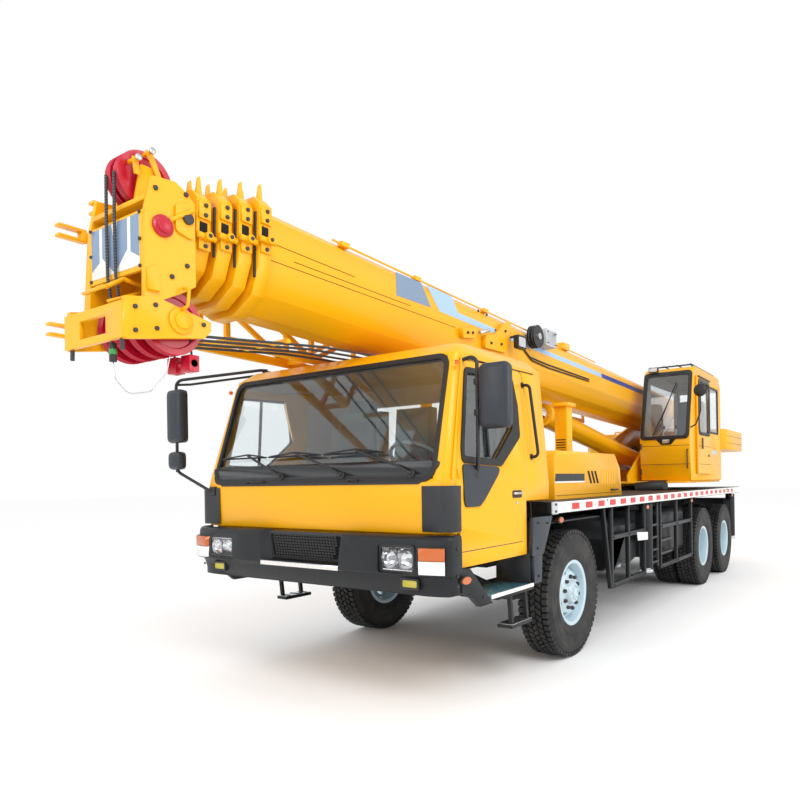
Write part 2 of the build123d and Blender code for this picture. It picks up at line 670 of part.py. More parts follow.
wheel_table = [                # name, axle station, wheel middle, kind
    ("front", front_axle_x, front_wheel_y, "single"),
    ("mid", rear_axle_x["mid"], dual_y, "dual"),
    ("rear", rear_axle_x["rear"], dual_y, "dual"),
]
for axle, x, wheel_y, kind in wheel_table:
    shape = wheel_kinds[kind]
    for side, name in ((1, "left"), (-1, "right")):
        turn = (0, 0, 90 - side * 90)
        with BuildPart() as rim:
            add(shape["rim"].moved(Location((x, side * wheel_y, tyre_radius), turn)))
        save(rim, f"rim_{axle}_{name}")
        with BuildPart() as tyre:
            for middle in shape["tyre_middles"]:
                add(tyre_shape.part.moved(Location((x, side * (wheel_y + middle), tyre_radius), turn)))
        save(tyre, f"tyre_{axle}_{name}")

# ---------------------------------------------------------------- outriggers
for place, behind in box_x.items():
    for side, name in ((1, "left"), (-1, "right")):
        x = ahead(behind) + side * beam_pitch / 2
        beam_half = beam_width / 2
        beam_z = (beam_low, beam_low + beam_height)
        with BuildPart() as outrigger_beam:
            span_box((x - beam_half, x + beam_half), sorted((side * beam_inner_end, side * jack_y)), beam_z)
            span_box((x - beam_half + 12, x + beam_half - 12), sorted((side * (beam_inner_end + 20), side * 1080)),
                     (beam_low + 12, beam_low + beam_height - 12), mode=Mode.SUBTRACT)
            bar((x, side * jack_y, jack_low), (x, side * jack_y, 1225), jack_radius)
            bar((x, side * jack_y, jack_low - 1), (x, side * jack_y, 1195), jack_rod_radius + pin_gap, mode=Mode.SUBTRACT)
        save(outrigger_beam, f"outrigger_beam_{place}_{name}")
        with BuildPart() as jack:
            bar((x, side * jack_y, jack_low - 30), (x, side * jack_y, 1180), jack_rod_radius)
            bar((x, side * jack_y, jack_low - 50), (x, side * jack_y, jack_low - 15), jack_radius + 2)
        save(jack, f"jack_{place}_{name}")

# ---------------------------------------------------------------- turntable
foot_x, foot_z = ahead(cylinder_foot[0]), cylinder_foot[1]
eye_x, eye_z = ahead(cylinder_eye[0]), cylinder_eye[1]
foot_pin_radius = 45
plate_outline = [
    (ahead(-3780), turntable_z), (ahead(-3780), 1560), (ahead(-4500), 1980), (ahead(-5900), 2420),
    (ahead(-6780), 2830), (ahead(-6900), 2880), (ahead(-7050), 2860), (ahead(-7130), 2760),
    (ahead(-7130), 2560), (ahead(-7000), 2050), (ahead(-6500), turntable_z),
]
with BuildPart() as turntable:
    side_prism(plate_outline, plate_y, plate_y + plate_wall)
    mirror(about=Plane.XZ)
    with Locations((slew_x, 0, deck_top + 60 + slide_gap)):
        Cylinder(ring_radius, turntable_z - deck_top - 60 - slide_gap, align=(Align.CENTER, Align.CENTER, Align.MIN))
    top_prism([
        (ahead(-3780), 420), (ahead(-3780), -420), (ahead(-4100), -900), (ahead(-5800), -900),
        (ahead(-6500), -420), (ahead(-6500), 420), (ahead(-5950), 1120), (ahead(-4000), 1120)],
        turntable_z, turntable_z + 30)
    for x in (-6560, -5450):
        span_box((ahead(x), ahead(x + 24)), (-plate_y, plate_y), (turntable_z + 30, 1640))
    span_box((ahead(-7130), ahead(-7100)), (-plate_y, plate_y), (2480, 2540))
    outside_y = plate_y + plate_wall + 14
    bar((pivot_x, -outside_y, pivot_z), (pivot_x, outside_y, pivot_z), pivot_radius)
    bar((foot_x, -outside_y, foot_z), (foot_x, outside_y, foot_z), foot_pin_radius)
save(turntable, "turntable")

weight_z = (1960, 2300)
with BuildPart() as counterweight:
    weight_outline = [
        (ahead(-5990), plate_y + plate_wall), (ahead(-5990), 1100), (ahead(-6090), 1210),
        (ahead(80 - tail_reach), 1210), (ahead(-tail_reach), 1100), (ahead(-tail_reach), 0), (ahead(-7140), 0),
        (ahead(-7140), plate_y + plate_wall),
    ]
    top_prism(weight_outline, weight_z[0], weight_z[1])
    mirror(about=Plane.XZ)
    upper_edges = counterweight.edges().filter_by(lambda e: abs(e.center().Z - weight_z[1]) < 1)
    fillet(upper_edges.filter_by(lambda e: abs(e.center().Y) > 380), 30)
save(counterweight, "counterweight")

with BuildPart() as winches:
    winch_table = [(-5960, 1840), (-6560, 1960)]      # behind the front axle, height
    for behind, z in winch_table:
        x = ahead(behind)
        bar((x, -plate_y, z), (x, plate_y, z), 60)
        bar((x, -290, z), (x, 290, z), 150, sides=rim_sides)
        for y in (-290, 270):
            bar((x, y, z), (x, y + 20, z), 235, sides=rim_sides)
save(winches, "winches")

# ---------------------------------------------------------------- operator's cab
booth_y = (450, 1150)
booth_wall = 35
booth_low = turntable_z + 30


def booth_side(inset):
    """Side view of the operator's cab, outside or inside."""
    return [
        (ahead(-4060 - inset), booth_low + inset), (ahead(-4000 - inset), 1900), (ahead(-4000 - inset), 2070),
        (ahead(-4240 - inset), 3010), (ahead(-4350 - inset), 3090 - inset), (ahead(-5780), 3090 - inset),
        (ahead(-5920 + inset), 2960), (ahead(-5950 + inset), booth_low + inset),
    ]


booth_door_x = (-5080, -4330)
booth_door_z = (1560, 2960)
booth_travel = 690
with BuildPart() as operator_cab:
    side_prism(booth_side(0), *booth_y)
    side_prism(booth_side(booth_wall), booth_y[0] + booth_wall, booth_y[1] - booth_wall, mode=Mode.SUBTRACT)
    span_box((ahead(booth_door_x[0] + 30), ahead(booth_door_x[1] - 30)), (1100, 1200),
             (booth_door_z[0] + 40, booth_door_z[1] - 40), mode=Mode.SUBTRACT)
    span_box((ahead(-5780), ahead(-5160)), (1100, 1200), (2180, 2900), mode=Mode.SUBTRACT)
    span_box((ahead(-5750), ahead(-4450)), (400, 500), (2150, 2900), mode=Mode.SUBTRACT)
    front_prism([(500, 2090), (1100, 2090), (1100, 2990), (500, 2990)], ahead(-4300), ahead(-3900), mode=Mode.SUBTRACT)
    front_prism([(520, 2200), (1080, 2200), (1080, 2880), (520, 2880)], ahead(-6000), ahead(-5850), mode=Mode.SUBTRACT)
save(operator_cab, "operator_cab")


def booth_front_x(z):
    """X of the operator's sloping windscreen at a height."""
    return ahead(-4000 - (z - 2070) * 240 / 940)


with BuildPart() as operator_glass:
    low, high = 2090 + fit_gap, 2990 - fit_gap
    side_prism([
        (booth_front_x(low) - 12, low), (booth_front_x(low) - 20, low),
        (booth_front_x(high) - 20, high), (booth_front_x(high) - 12, high)], 500 + fit_gap, 1100 - fit_gap)
    span_box((ahead(-5780 + fit_gap), ahead(-5160 - fit_gap)), (1130, 1138), (2180 + fit_gap, 2900 - fit_gap))
    span_box((ahead(-5750 + fit_gap), ahead(-4450 - fit_gap)), (462, 470), (2150 + fit_gap, 2900 - fit_gap))
    side_prism([
        (ahead(-5926), 2200 + fit_gap), (ahead(-5918), 2200 + fit_gap), (ahead(-5903), 2880 - fit_gap),
        (ahead(-5911), 2880 - fit_gap)], 520 + fit_gap, 1080 - fit_gap)
save(operator_glass, "operator_glass")

door_y = (booth_y[1] + slide_gap, booth_y[1] + slide_gap + 30)
with BuildPart() as operator_door:
    span_box((ahead(booth_door_x[0]), ahead(booth_door_x[1])), door_y, booth_door_z)
    span_box((ahead(booth_door_x[0] + 70), ahead(booth_door_x[1] - 70)), (1100, 1200), (2150, 2890), mode=Mode.SUBTRACT)
save(operator_door, "operator_door")
with BuildPart() as operator_door_glass:
    span_box((ahead(booth_door_x[0] + 70 + fit_gap), ahead(booth_door_x[1] - 70 - fit_gap)),
             (door_y[0] + 10, door_y[0] + 18), (2150 + fit_gap, 2890 - fit_gap))
save(operator_door_glass, "operator_door_glass")

with BuildPart() as operator_fittings:
    seat_floor = booth_low + booth_wall
    side_prism([
        (ahead(-5400), seat_floor), (ahead(-4900), seat_floor), (ahead(-4850), 1980), (ahead(-5330), 1960),
        (ahead(-5480), 2700), (ahead(-5600), 2700), (ahead(-5500), 1900)], 600, 1010)
    side_prism([
        (ahead(-4420), seat_floor), (ahead(-4200), seat_floor), (ahead(-4150), 2030), (ahead(-4330), 2050)],
        520, 1060)
    for x in (-4380, -5700):
        span_box((ahead(x - 20), ahead(x + 20)), (500, 1100), (3090, 3115))
    for y in (500, 700, 900, 1080):
        span_box((ahead(-5720), ahead(-4360)), (y, y + 20), (3115, 3135))
save(operator_fittings, "operator_fittings")

# ---------------------------------------------------------------- luffing cylinder
eye_vector = Vector(eye_x - foot_x, 0, eye_z - foot_z)
cylinder_length = eye_vector.length
cylinder_way = eye_vector.normalized()
barrel_length = 3240
eye_radius = 88
eye_half = rod_radius - 4


def on_cylinder(distance):
    """Point on the luffing cylinder's centre line, measured from its foot pin."""
    point = Vector(foot_x, 0, foot_z) + cylinder_way * distance
    return (point.X, point.Y, point.Z)


with BuildPart() as luff_barrel:
    bar(on_cylinder(80), on_cylinder(barrel_length - 20), barrel_radius)
    bar(on_cylinder(barrel_length - 90), on_cylinder(barrel_length), barrel_radius + 8)
    foot_half = plate_y - pin_gap
    bar((foot_x, -foot_half, foot_z), (foot_x, foot_half, foot_z), 100)
    bar(on_cylinder(150), on_cylinder(barrel_length - 90), barrel_radius - 18, mode=Mode.SUBTRACT)
    bar(on_cylinder(barrel_length - 100), on_cylinder(barrel_length + 1), rod_radius + pin_gap, mode=Mode.SUBTRACT)
    bar((foot_x, -plate_y, foot_z), (foot_x, plate_y, foot_z), foot_pin_radius + pin_gap, mode=Mode.SUBTRACT)
save(luff_barrel, "luff_barrel")

with BuildPart() as luff_rod:
    bar(on_cylinder(200), on_cylinder(cylinder_length - 50), rod_radius)
    bar(on_cylinder(155), on_cylinder(215), barrel_radius - 18 - pin_gap)
    bar((eye_x, -eye_half, eye_z), (eye_x, eye_half, eye_z), eye_radius)
save(luff_rod, "luff_rod")

# ---------------------------------------------------------------- telescopic boom


def boom_outline(shrink):
    """Cross-section of a boom section: flat top with bevels, folded round bottom."""
    half, up, down = boom_half - shrink, boom_up - shrink, boom_down - shrink
    bevel = 55
    side_low = -0.45 * down
    folds = [(cos(radians(a)), sin(radians(a)) / sin(radians(72))) for a in (0, 36, 72)]
    right = [(half * c, side_low - (down + side_low) * s) for c, s in folds]
    left = [(-y, z) for y, z in reversed(right)]
    return right + left + [(-half, up - bevel), (bevel - half, up), (half - bevel, up), (half, up - bevel)]


def boom_prism(shrink, start, end, mode=Mode.ADD):
    """Length of boom cross-section between two distances from the foot pin."""
    direction = (cos(radians(boom_slope)), 0, sin(radians(boom_slope)))
    with BuildSketch(Plane(origin=boom_point(start), x_dir=(0, 1, 0), z_dir=direction)) as outline:
        with BuildLine():
            Polyline(*boom_outline(shrink), close=True)
        make_face()
    extrude(outline.sketch, amount=end - start, mode=mode)


def boom_section(index):
    """Tube of one section with its collar at the front and its slide pads at the rear."""
    shrink = index * section_step
    rear = 350 if index == 0 else section_rear + (index - 1) * collar_pitch
    front = base_front + index * collar_pitch
    boom_prism(shrink, rear, front - collar_length / 2 if index < 4 else head_along)
    if index < 4:
        boom_prism(shrink - collar_lip, front - collar_length, front)
    if index:
        boom_prism(shrink - section_step + boom_wall + slide_gap, rear, rear + 90)
    inner_rear = rear + 20 if index == 0 else rear - 1
    boom_prism(shrink + boom_wall, inner_rear, front - collar_length if index < 4 else head_along - 20, mode=Mode.SUBTRACT)
    if index < 4:
        boom_prism(shrink + section_step - slide_gap, front - collar_length - 1, front + 1, mode=Mode.SUBTRACT)


eye_offset = Vector(eye_x - pivot_x, 0, eye_z - pivot_z)
eye_along = eye_offset.X * cos(radians(boom_slope)) + eye_offset.Z * sin(radians(boom_slope))
eye_up = -eye_offset.X * sin(radians(boom_slope)) + eye_offset.Z * cos(radians(boom_slope))


def boom_side(points):
    """Side view points given along and above the boom's line."""
    return [(boom_point(along, up)[0], boom_point(along, up)[2]) for along, up in points]


with BuildPart() as boom_base:
    boom_section(0)
    ear = boom_side([
        (-110, -105), (-150, 0), (-110, 105), (0, 150), (350, boom_up - 60), (420, boom_up - 60),
        (420, -boom_down * 0.45), (350, -boom_down * 0.45), (60, -140)])
    side_prism(ear, boom_half - 40, boom_half)
    side_prism(ear, -boom_half, 40 - boom_half)
    for side in (1, -1):
        bar((pivot_x, side * (boom_half - 60), pivot_z), (pivot_x, side * (plate_y - pin_gap), pivot_z), 100)
        ear_y = sorted((side * (rod_radius + running_gap), side * (rod_radius + running_gap + 30)))
        side_prism(boom_side([
            (eye_along - 170, 15.5 - boom_down), (eye_along + 170, 15.5 - boom_down), (eye_along + 70, eye_up - 95),
            (eye_along - 70, eye_up - 95)]), *ear_y)
        bar((eye_x, side * (rod_radius + running_gap + 30), eye_z), (eye_x, side * (rod_radius + running_gap + 48), eye_z), 55)
    bar((pivot_x, -plate_y, pivot_z), (pivot_x, plate_y, pivot_z), pivot_radius + pin_gap, mode=Mode.SUBTRACT)
save(boom_base, "boom_base")

for index in (1, 2, 3):
    with BuildPart() as boom_tube:
        boom_section(index)
    save(boom_tube, f"boom_section_{index + 1}")

head_length = 295            # back of the head to its front
head_front = nose_reach - 120
head_rear = head_front - head_length
cheek_y = (255, 290)
head_x = head_front - 150    # axle of the upper sheaves
nose_x, nose_z = nose_reach - 317, 2395      # axle of the lower sheaves
sheave_table = [               # ahead of the front axle, height, radius, Y of each sheave's middle
    (head_x, 3190, 158, (-40, 40)),
    (nose_x, nose_z, 175, (-200, -70, 70, 200)),
]
with BuildPart() as boom_head:
    boom_section(4)
    cheek = [
        (ahead(head_rear), 2600), (ahead(head_rear), 3050), (ahead(head_rear + 45), 3095),
        (ahead(head_rear + 115), 3135), (ahead(head_front - 50), 3120), (ahead(head_front - 12), 2940),
        (ahead(head_front), 2480), (ahead(head_front - 90), 2480), (ahead(head_front - 200), 2540)]
    nose = [
        (ahead(nose_x - 188), nose_z + 28), (ahead(nose_x - 188), nose_z - 25), (ahead(nose_x - 145), nose_z - 70),
        (ahead(nose_reach - 15), 2250), (ahead(nose_reach - 15), 2465), (ahead(nose_x + 130), 2495)]
    for side in (1, -1):
        side_prism(cheek, *sorted((side * cheek_y[0], side * cheek_y[1])))
        side_prism(nose, *sorted((side * cheek_y[0], side * cheek_y[1])))
    span_box((ahead(head_front - 30), ahead(head_front - 8)), (-cheek_y[0], cheek_y[0]), (2630, 2940))
    span_box((ahead(head_rear), ahead(head_rear + 25)), (-cheek_y[0], cheek_y[0]), (2600, 3045))
    span_box((ahead(nose_reach - 25), ahead(nose_reach)), (-cheek_y[1], cheek_y[1]), (2256, 2440))
    span_box((ahead(nose_reach - 30), ahead(nose_reach + 5)), (-130, 130), (2295, 2390), mode=Mode.SUBTRACT)
    for side in (1, -1):
        side_prism([
            (ahead(head_x - 80), 3015), (ahead(head_x + 90), 3015), (ahead(head_x + 50), 3250),
            (ahead(head_x - 50), 3250)],
            *sorted((side * 80, side * 105)))
    span_box((ahead(head_rear), ahead(head_front - 20)), (-cheek_y[0], cheek_y[0]), (2995, 3020))
save(boom_head, "boom_head")

with BuildPart() as sheaves:
    for behind, z, radius, middles in sheave_table:
        x = ahead(behind)
        reach = 80 if z > 3000 else 255
        bar((x, -reach, z), (x, reach, z), 35)
        for y in middles:
            add(faceted(disc(radius, 26, groove=26)).moved(Location((x, y, z))))
save(sheaves, "sheaves")

with BuildPart() as cable_reel:
    reel_x, reel_z = ahead(-900), 3000
    bar((reel_x, boom_half, reel_z), (reel_x, boom_half + 40, reel_z), 50, sides=12)
    bar((reel_x, boom_half + 40, reel_z), (reel_x, boom_half + 150, reel_z), 115, sides=rim_sides)
save(cable_reel, "cable_reel")

# ---------------------------------------------------------------- lattice jib stowed beside the boom
front_frame = [(-450, 2530), (-450, 3000), (-760, 3000), (-760, 2530)]      # y, z
rear_frame = [(-500, 2400), (-500, 2660), (-710, 2660), (-710, 2400)]
brace_side = 34
fork_gap = brace_side / 2 + 0.3      # the forks stand against the lattice's front frame
jib_front, jib_rear = nose_reach - 1160, -4200
prong_length, prong_width, prong_wall, prong_gap = 160, 54, 16, 44
fork_table = [                 # root y and z on the front frame; tip x, y and z
    (-450, 3000, nose_reach - 204, -390, 3130), (-760, 3000, nose_reach - 141, -660, 3045),
    (-760, 2530, nose_reach - 74, -640, 2440),
]
with BuildPart() as jib_forks:
    for root_y, root_z, tip_x, tip_y, tip_z in fork_table:
        square_bar((ahead(jib_front), root_y, root_z), (ahead(tip_x - prong_length + 5), tip_y, tip_z), 52)
        prong_y = (tip_y - prong_width / 2, tip_y + prong_width / 2)
        for z in (tip_z - prong_gap / 2 - prong_wall, tip_z + prong_gap / 2):
            span_box((ahead(tip_x - prong_length), ahead(tip_x)), prong_y, (z, z + prong_wall))
        reach_z = prong_gap / 2 + prong_wall
        root_x = tip_x - prong_length
        span_box((ahead(root_x), ahead(root_x + 30)), prong_y, (tip_z - reach_z, tip_z + reach_z))
    square_bar((ahead(nose_reach - 320), -668, 2455), (ahead(nose_reach - 360), -680, 3035), 46)
    root_z = (front_frame[0][1] - 100, front_frame[1][1] + 100)
    span_box((ahead(jib_front - 100), ahead(jib_front) + fork_gap), (-900, -300), root_z, mode=Mode.SUBTRACT)
with BuildPart() as jib:
    chords = []
    for (y0, z0), (y1, z1) in zip(front_frame, rear_frame):
        chords.append((Vector(ahead(jib_front), y0, z0), Vector(ahead(jib_rear), y1, z1)))
    for start, end in chords:
        square_bar(tuple(start), tuple(end), 56)
    bays = 8
    for bay in range(bays + 1):
        corners = [start + (end - start) * (bay / bays) for start, end in chords]
        for a, b in ((0, 1), (1, 2), (2, 3), (3, 0)):
            square_bar(tuple(corners[a]), tuple(corners[b]), brace_side)
        if bay < bays:
            following = [start + (end - start) * ((bay + 1) / bays) for start, end in chords]
            for a, b in ((0, 1), (3, 2)):
                low_end, high_end = (corners[a], following[b]) if bay % 2 else (corners[b], following[a])
                square_bar(tuple(low_end), tuple(high_end), brace_side)
    add(jib_forks.part)
    for x, y, z in ((1700, -454, 2990), (-2300, -488, 2780)):
        span_box((ahead(x - 60), ahead(x + 60)), (y - 10, -boom_half), (z - 40, z + 20))
save(jib, "jib")
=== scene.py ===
"""Finish and fine detail for the truck crane: paint, glass, rubber, tread, ropes, lamps and trim.

Metres, in the crane's own frame: +X forward, +Y to the driver's left, +Z up.
"""

import json
from math import cos, pi, radians, sin

import bmesh
import bpy
from mathutils import Matrix, Vector


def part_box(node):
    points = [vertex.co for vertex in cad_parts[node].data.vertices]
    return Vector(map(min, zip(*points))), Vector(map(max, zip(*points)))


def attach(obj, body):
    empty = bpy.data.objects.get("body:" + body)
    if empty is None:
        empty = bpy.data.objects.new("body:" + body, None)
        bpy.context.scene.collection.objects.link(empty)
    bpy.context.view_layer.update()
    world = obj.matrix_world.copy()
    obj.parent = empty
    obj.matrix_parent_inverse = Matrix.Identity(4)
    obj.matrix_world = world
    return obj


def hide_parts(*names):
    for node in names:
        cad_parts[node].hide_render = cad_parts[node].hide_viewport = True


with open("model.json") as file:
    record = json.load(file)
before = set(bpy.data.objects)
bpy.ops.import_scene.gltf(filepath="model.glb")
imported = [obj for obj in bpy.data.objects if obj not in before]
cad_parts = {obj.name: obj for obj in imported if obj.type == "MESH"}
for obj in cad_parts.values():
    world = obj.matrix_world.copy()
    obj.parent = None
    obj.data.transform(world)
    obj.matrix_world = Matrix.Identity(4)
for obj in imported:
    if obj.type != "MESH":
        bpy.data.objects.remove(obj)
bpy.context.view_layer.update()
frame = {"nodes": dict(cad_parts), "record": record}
BODIES = frame["record"]["behaviour"]["bodies"]

# ---------------------------------------------------------------- places taken from the frame


def centre(node):
    low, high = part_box(node)
    return (low + high) / 2


FRONT_AXLE = centre("tyre_front_left")
TYRE_RADIUS = FRONT_AXLE.z


def ahead(distance):
    """X of a station measured forward from the front axle."""
    return FRONT_AXLE.x + distance


def at(station, y, z):
    """Point at a station measured forward from the front axle."""
    return (ahead(station), y, z)


def stations(outline):
    """Outline in side view, with its stations measured from the front axle."""
    return [(ahead(x), z) for x, z in outline]


def spread(middle, half):
    """Ranges of a box about its middle."""
    return [tuple(sorted((c - h, c + h))) for c, h in zip(middle, half)]


# ---------------------------------------------------------------- node helpers for materials


class Shader:
    """A material's node tree, with one Principled shader and Object coordinates."""

    def __init__(self, name, **sockets):
        self.material = bpy.data.materials.new(name)
        self.material.use_nodes = True
        self.tree = self.material.node_tree
        self.surface = self.tree.nodes["Principled BSDF"]
        self.place = self.tree.nodes.new("ShaderNodeTexCoord").outputs["Object"]
        for socket, value in sockets.items():
            self.surface.inputs[socket.replace("_", " ")].default_value = value

    def add(self, kind, links=None, **values):
        """A node with its properties, socket values and incoming links set."""
        node = self.tree.nodes.new(kind)
        for key, value in values.items():
            if hasattr(node, key):
                setattr(node, key, value)
            else:
                node.inputs[key.replace("_", " ")].default_value = value
        for socket, source in (links or {}).items():
            self.tree.links.new(source, node.inputs[socket])
        return node

    def noise(self, scale, detail=4.0, roughness=0.55, stretch=None):
        source = self.place
        if stretch:
            source = self.add("ShaderNodeMapping", {"Vector": self.place}, Scale=stretch).outputs[0]
        return self.add("ShaderNodeTexNoise", {"Vector": source}, Scale=scale, Detail=detail,
                        Roughness=roughness).outputs["Fac"]

    def ramp(self, source, stops):
        """Colour ramp from (position, colour) stops."""
        node = self.add("ShaderNodeValToRGB", {"Fac": source})
        elements = node.color_ramp.elements
        while len(elements) < len(stops):
            elements.new(0.5)
        for element, (position, colour) in zip(elements, stops):
            element.position = position
            element.color = colour if len(colour) == 4 else (*colour, 1)
        return node.outputs["Color"]

    def mix(self, factor, a, b):
        """Colour mix; a and b are sockets or plain colours."""
        node = self.tree.nodes.new("ShaderNodeMix")
        node.data_type = "RGBA"
        for index, value in ((0, factor), (6, a), (7, b)):
            if isinstance(value, bpy.types.NodeSocket):
                self.tree.links.new(value, node.inputs[index])
            else:
                node.inputs[index].default_value = value if index == 0 else (*value, 1)
        return node.outputs[2]

    def math(self, operation, a, b=0.0, clamp=False):
        node = self.tree.nodes.new("ShaderNodeMath")
        node.operation = operation
        node.use_clamp = clamp
        for index, value in enumerate((a, b)):
            if isinstance(value, bpy.types.NodeSocket):
                self.tree.links.new(value, node.inputs[index])
            else:
                node.inputs[index].default_value = value
        return node.outputs[0]

    def axis(self, name):
        return self.add("ShaderNodeSeparateXYZ", {"Vector": self.place}).outputs[name]

    def colour(self, source):
        self.tree.links.new(source, self.surface.inputs["Base Color"])

    def rough(self, source):
        self.tree.links.new(source, self.surface.inputs["Roughness"])

    def bump(self, height, strength, distance):
        node = self.add("ShaderNodeBump", {"Height": height}, Strength=strength, Distance=distance)
        self.tree.links.new(node.outputs[0], self.surface.inputs["Normal"])


def painted(name, tint, shade, dust, roughness=0.28, coat=0.6, dust_share=0.25, specular=0.4):
    """Sprayed enamel: slow tone drift, fine orange peel, road dust low down and in soft patches."""
    s = Shader(name, Roughness=roughness, Coat_Weight=coat, Coat_Roughness=0.12,
               Specular_IOR_Level=specular)
    tone = s.mix(s.noise(0.6, 3), tint, shade)
    height = s.axis("Z")
    low = s.math("MULTIPLY", s.math("SUBTRACT", 1.3, height), 0.9, clamp=True)
    patch = s.ramp(s.noise(3.2, 8, 0.7), [(0.48, (0, 0, 0)), (0.75, (1, 1, 1))])
    amount = s.math("MULTIPLY", s.math("MULTIPLY", patch, s.math("ADD", low, 0.12)), dust_share)
    s.colour(s.mix(amount, tone, dust))
    grime = s.math("MULTIPLY", s.noise(26, 5), 0.16)
    s.rough(s.math("ADD", s.math("ADD", grime, roughness - 0.08), s.math("MULTIPLY", amount, 0.5)))
    s.bump(s.noise(240, 2), 0.08, 0.002)
    return s.material


def plastic(name, tint, roughness=0.5, grain=350.0, strength=0.25):
    """Moulded plastic with a fine leather grain and slightly uneven gloss."""
    s = Shader(name, Roughness=roughness)
    s.colour(s.mix(s.noise(5, 4), tint, tuple(c * 1.35 for c in tint)))
    s.rough(s.math("ADD", s.math("MULTIPLY", s.noise(18, 4), 0.2), roughness - 0.1))
    s.bump(s.noise(grain, 3), strength, 0.001)
    return s.material


def metal(name, tint, roughness=0.3, brush=None, metallic=1.0):
    """Bare or plated metal, brushed along one axis where brush gives a stretch."""
    s = Shader(name, Metallic=metallic, Roughness=roughness)
    s.colour(s.mix(s.noise(9, 5), tint, tuple(c * 0.82 for c in tint)))
    lines = s.noise(60, 3, stretch=brush or (1, 1, 1))
    s.rough(s.math("ADD", s.math("MULTIPLY", lines, 0.22), roughness - 0.1))
    s.bump(lines, 0.08, 0.001)
    return s.material


def glazing(name, tint, roughness=0.02, ior=1.6):
    s = Shader(name, Roughness=roughness, Transmission_Weight=1.0, IOR=ior)
    s.colour(s.mix(s.noise(0.8, 2), tint, tuple(c * 0.96 for c in tint)))
    return s.material


def lens(name, tint, ribs=90.0, transmission=0.45):
    """Ribbed lamp glass, each rib's crest painted lighter as a painted highlight."""
    s = Shader(name, Roughness=0.12, Transmission_Weight=transmission, Coat_Weight=0.5)
    wave = s.add("ShaderNodeTexWave", {"Vector": s.place}, bands_direction="Y", Scale=ribs)
    # rib crests painted lighter than the glass: painted highlight
    s.colour(s.mix(wave.outputs["Fac"], tint, tuple(min(1, c * 1.25 + 0.02) for c in tint)))
    s.bump(wave.outputs["Fac"], 0.35, 0.002)
    return s.material


def rubber(name):
    """Tyre rubber: dusty charcoal with fine moulding grain."""
    s = Shader(name, Roughness=0.78)
    dusty = s.ramp(s.noise(7, 7, 0.65), [(0.4, (0.011, 0.011, 0.012)), (0.8, (0.05, 0.047, 0.042))])
    s.colour(dusty)
    s.rough(s.math("ADD", s.math("MULTIPLY", s.noise(40, 4), 0.25), 0.62))
    s.bump(s.noise(300, 3), 0.3, 0.002)
    return s.material


def rope(name, tint):
    """Laid steel rope: strands cross the rope at a slant, with painted highlights on their crests and
    painted shade in the grooves between them.
    """
    s = Shader(name, Metallic=0.5, Roughness=0.5)
    strands = s.add("ShaderNodeTexWave", {"Vector": s.place}, bands_direction="DIAGONAL", Scale=38.0,
                    Distortion=1.0)
    # crests painted light and grooves dark: painted highlight and painted shade
    s.colour(s.mix(strands.outputs["Fac"], tint, tuple(c * 3.2 for c in tint)))
    s.bump(strands.outputs["Fac"], 0.6, 0.004)
    return s.material


def chequer(name, tint):
    """Painted tread plate with worn raised bars."""
    s = Shader(name, Metallic=0.6, Roughness=0.4)
    cells = s.add("ShaderNodeTexVoronoi", {"Vector": s.place}, Scale=42.0)
    worn = s.ramp(cells.outputs["Distance"], [(0.15, (0.62, 0.68, 0.7)), (0.45, tint)])
    s.colour(s.mix(s.noise(14, 5), worn, tint))
    s.bump(cells.outputs["Distance"], 0.5, 0.004)
    return s.material


def film(name, tint, shade, dust):
    """Smooth foil or lacquer that stays clean."""
    return painted(name, tint, shade, dust, 0.3, 0.1, 0.05)


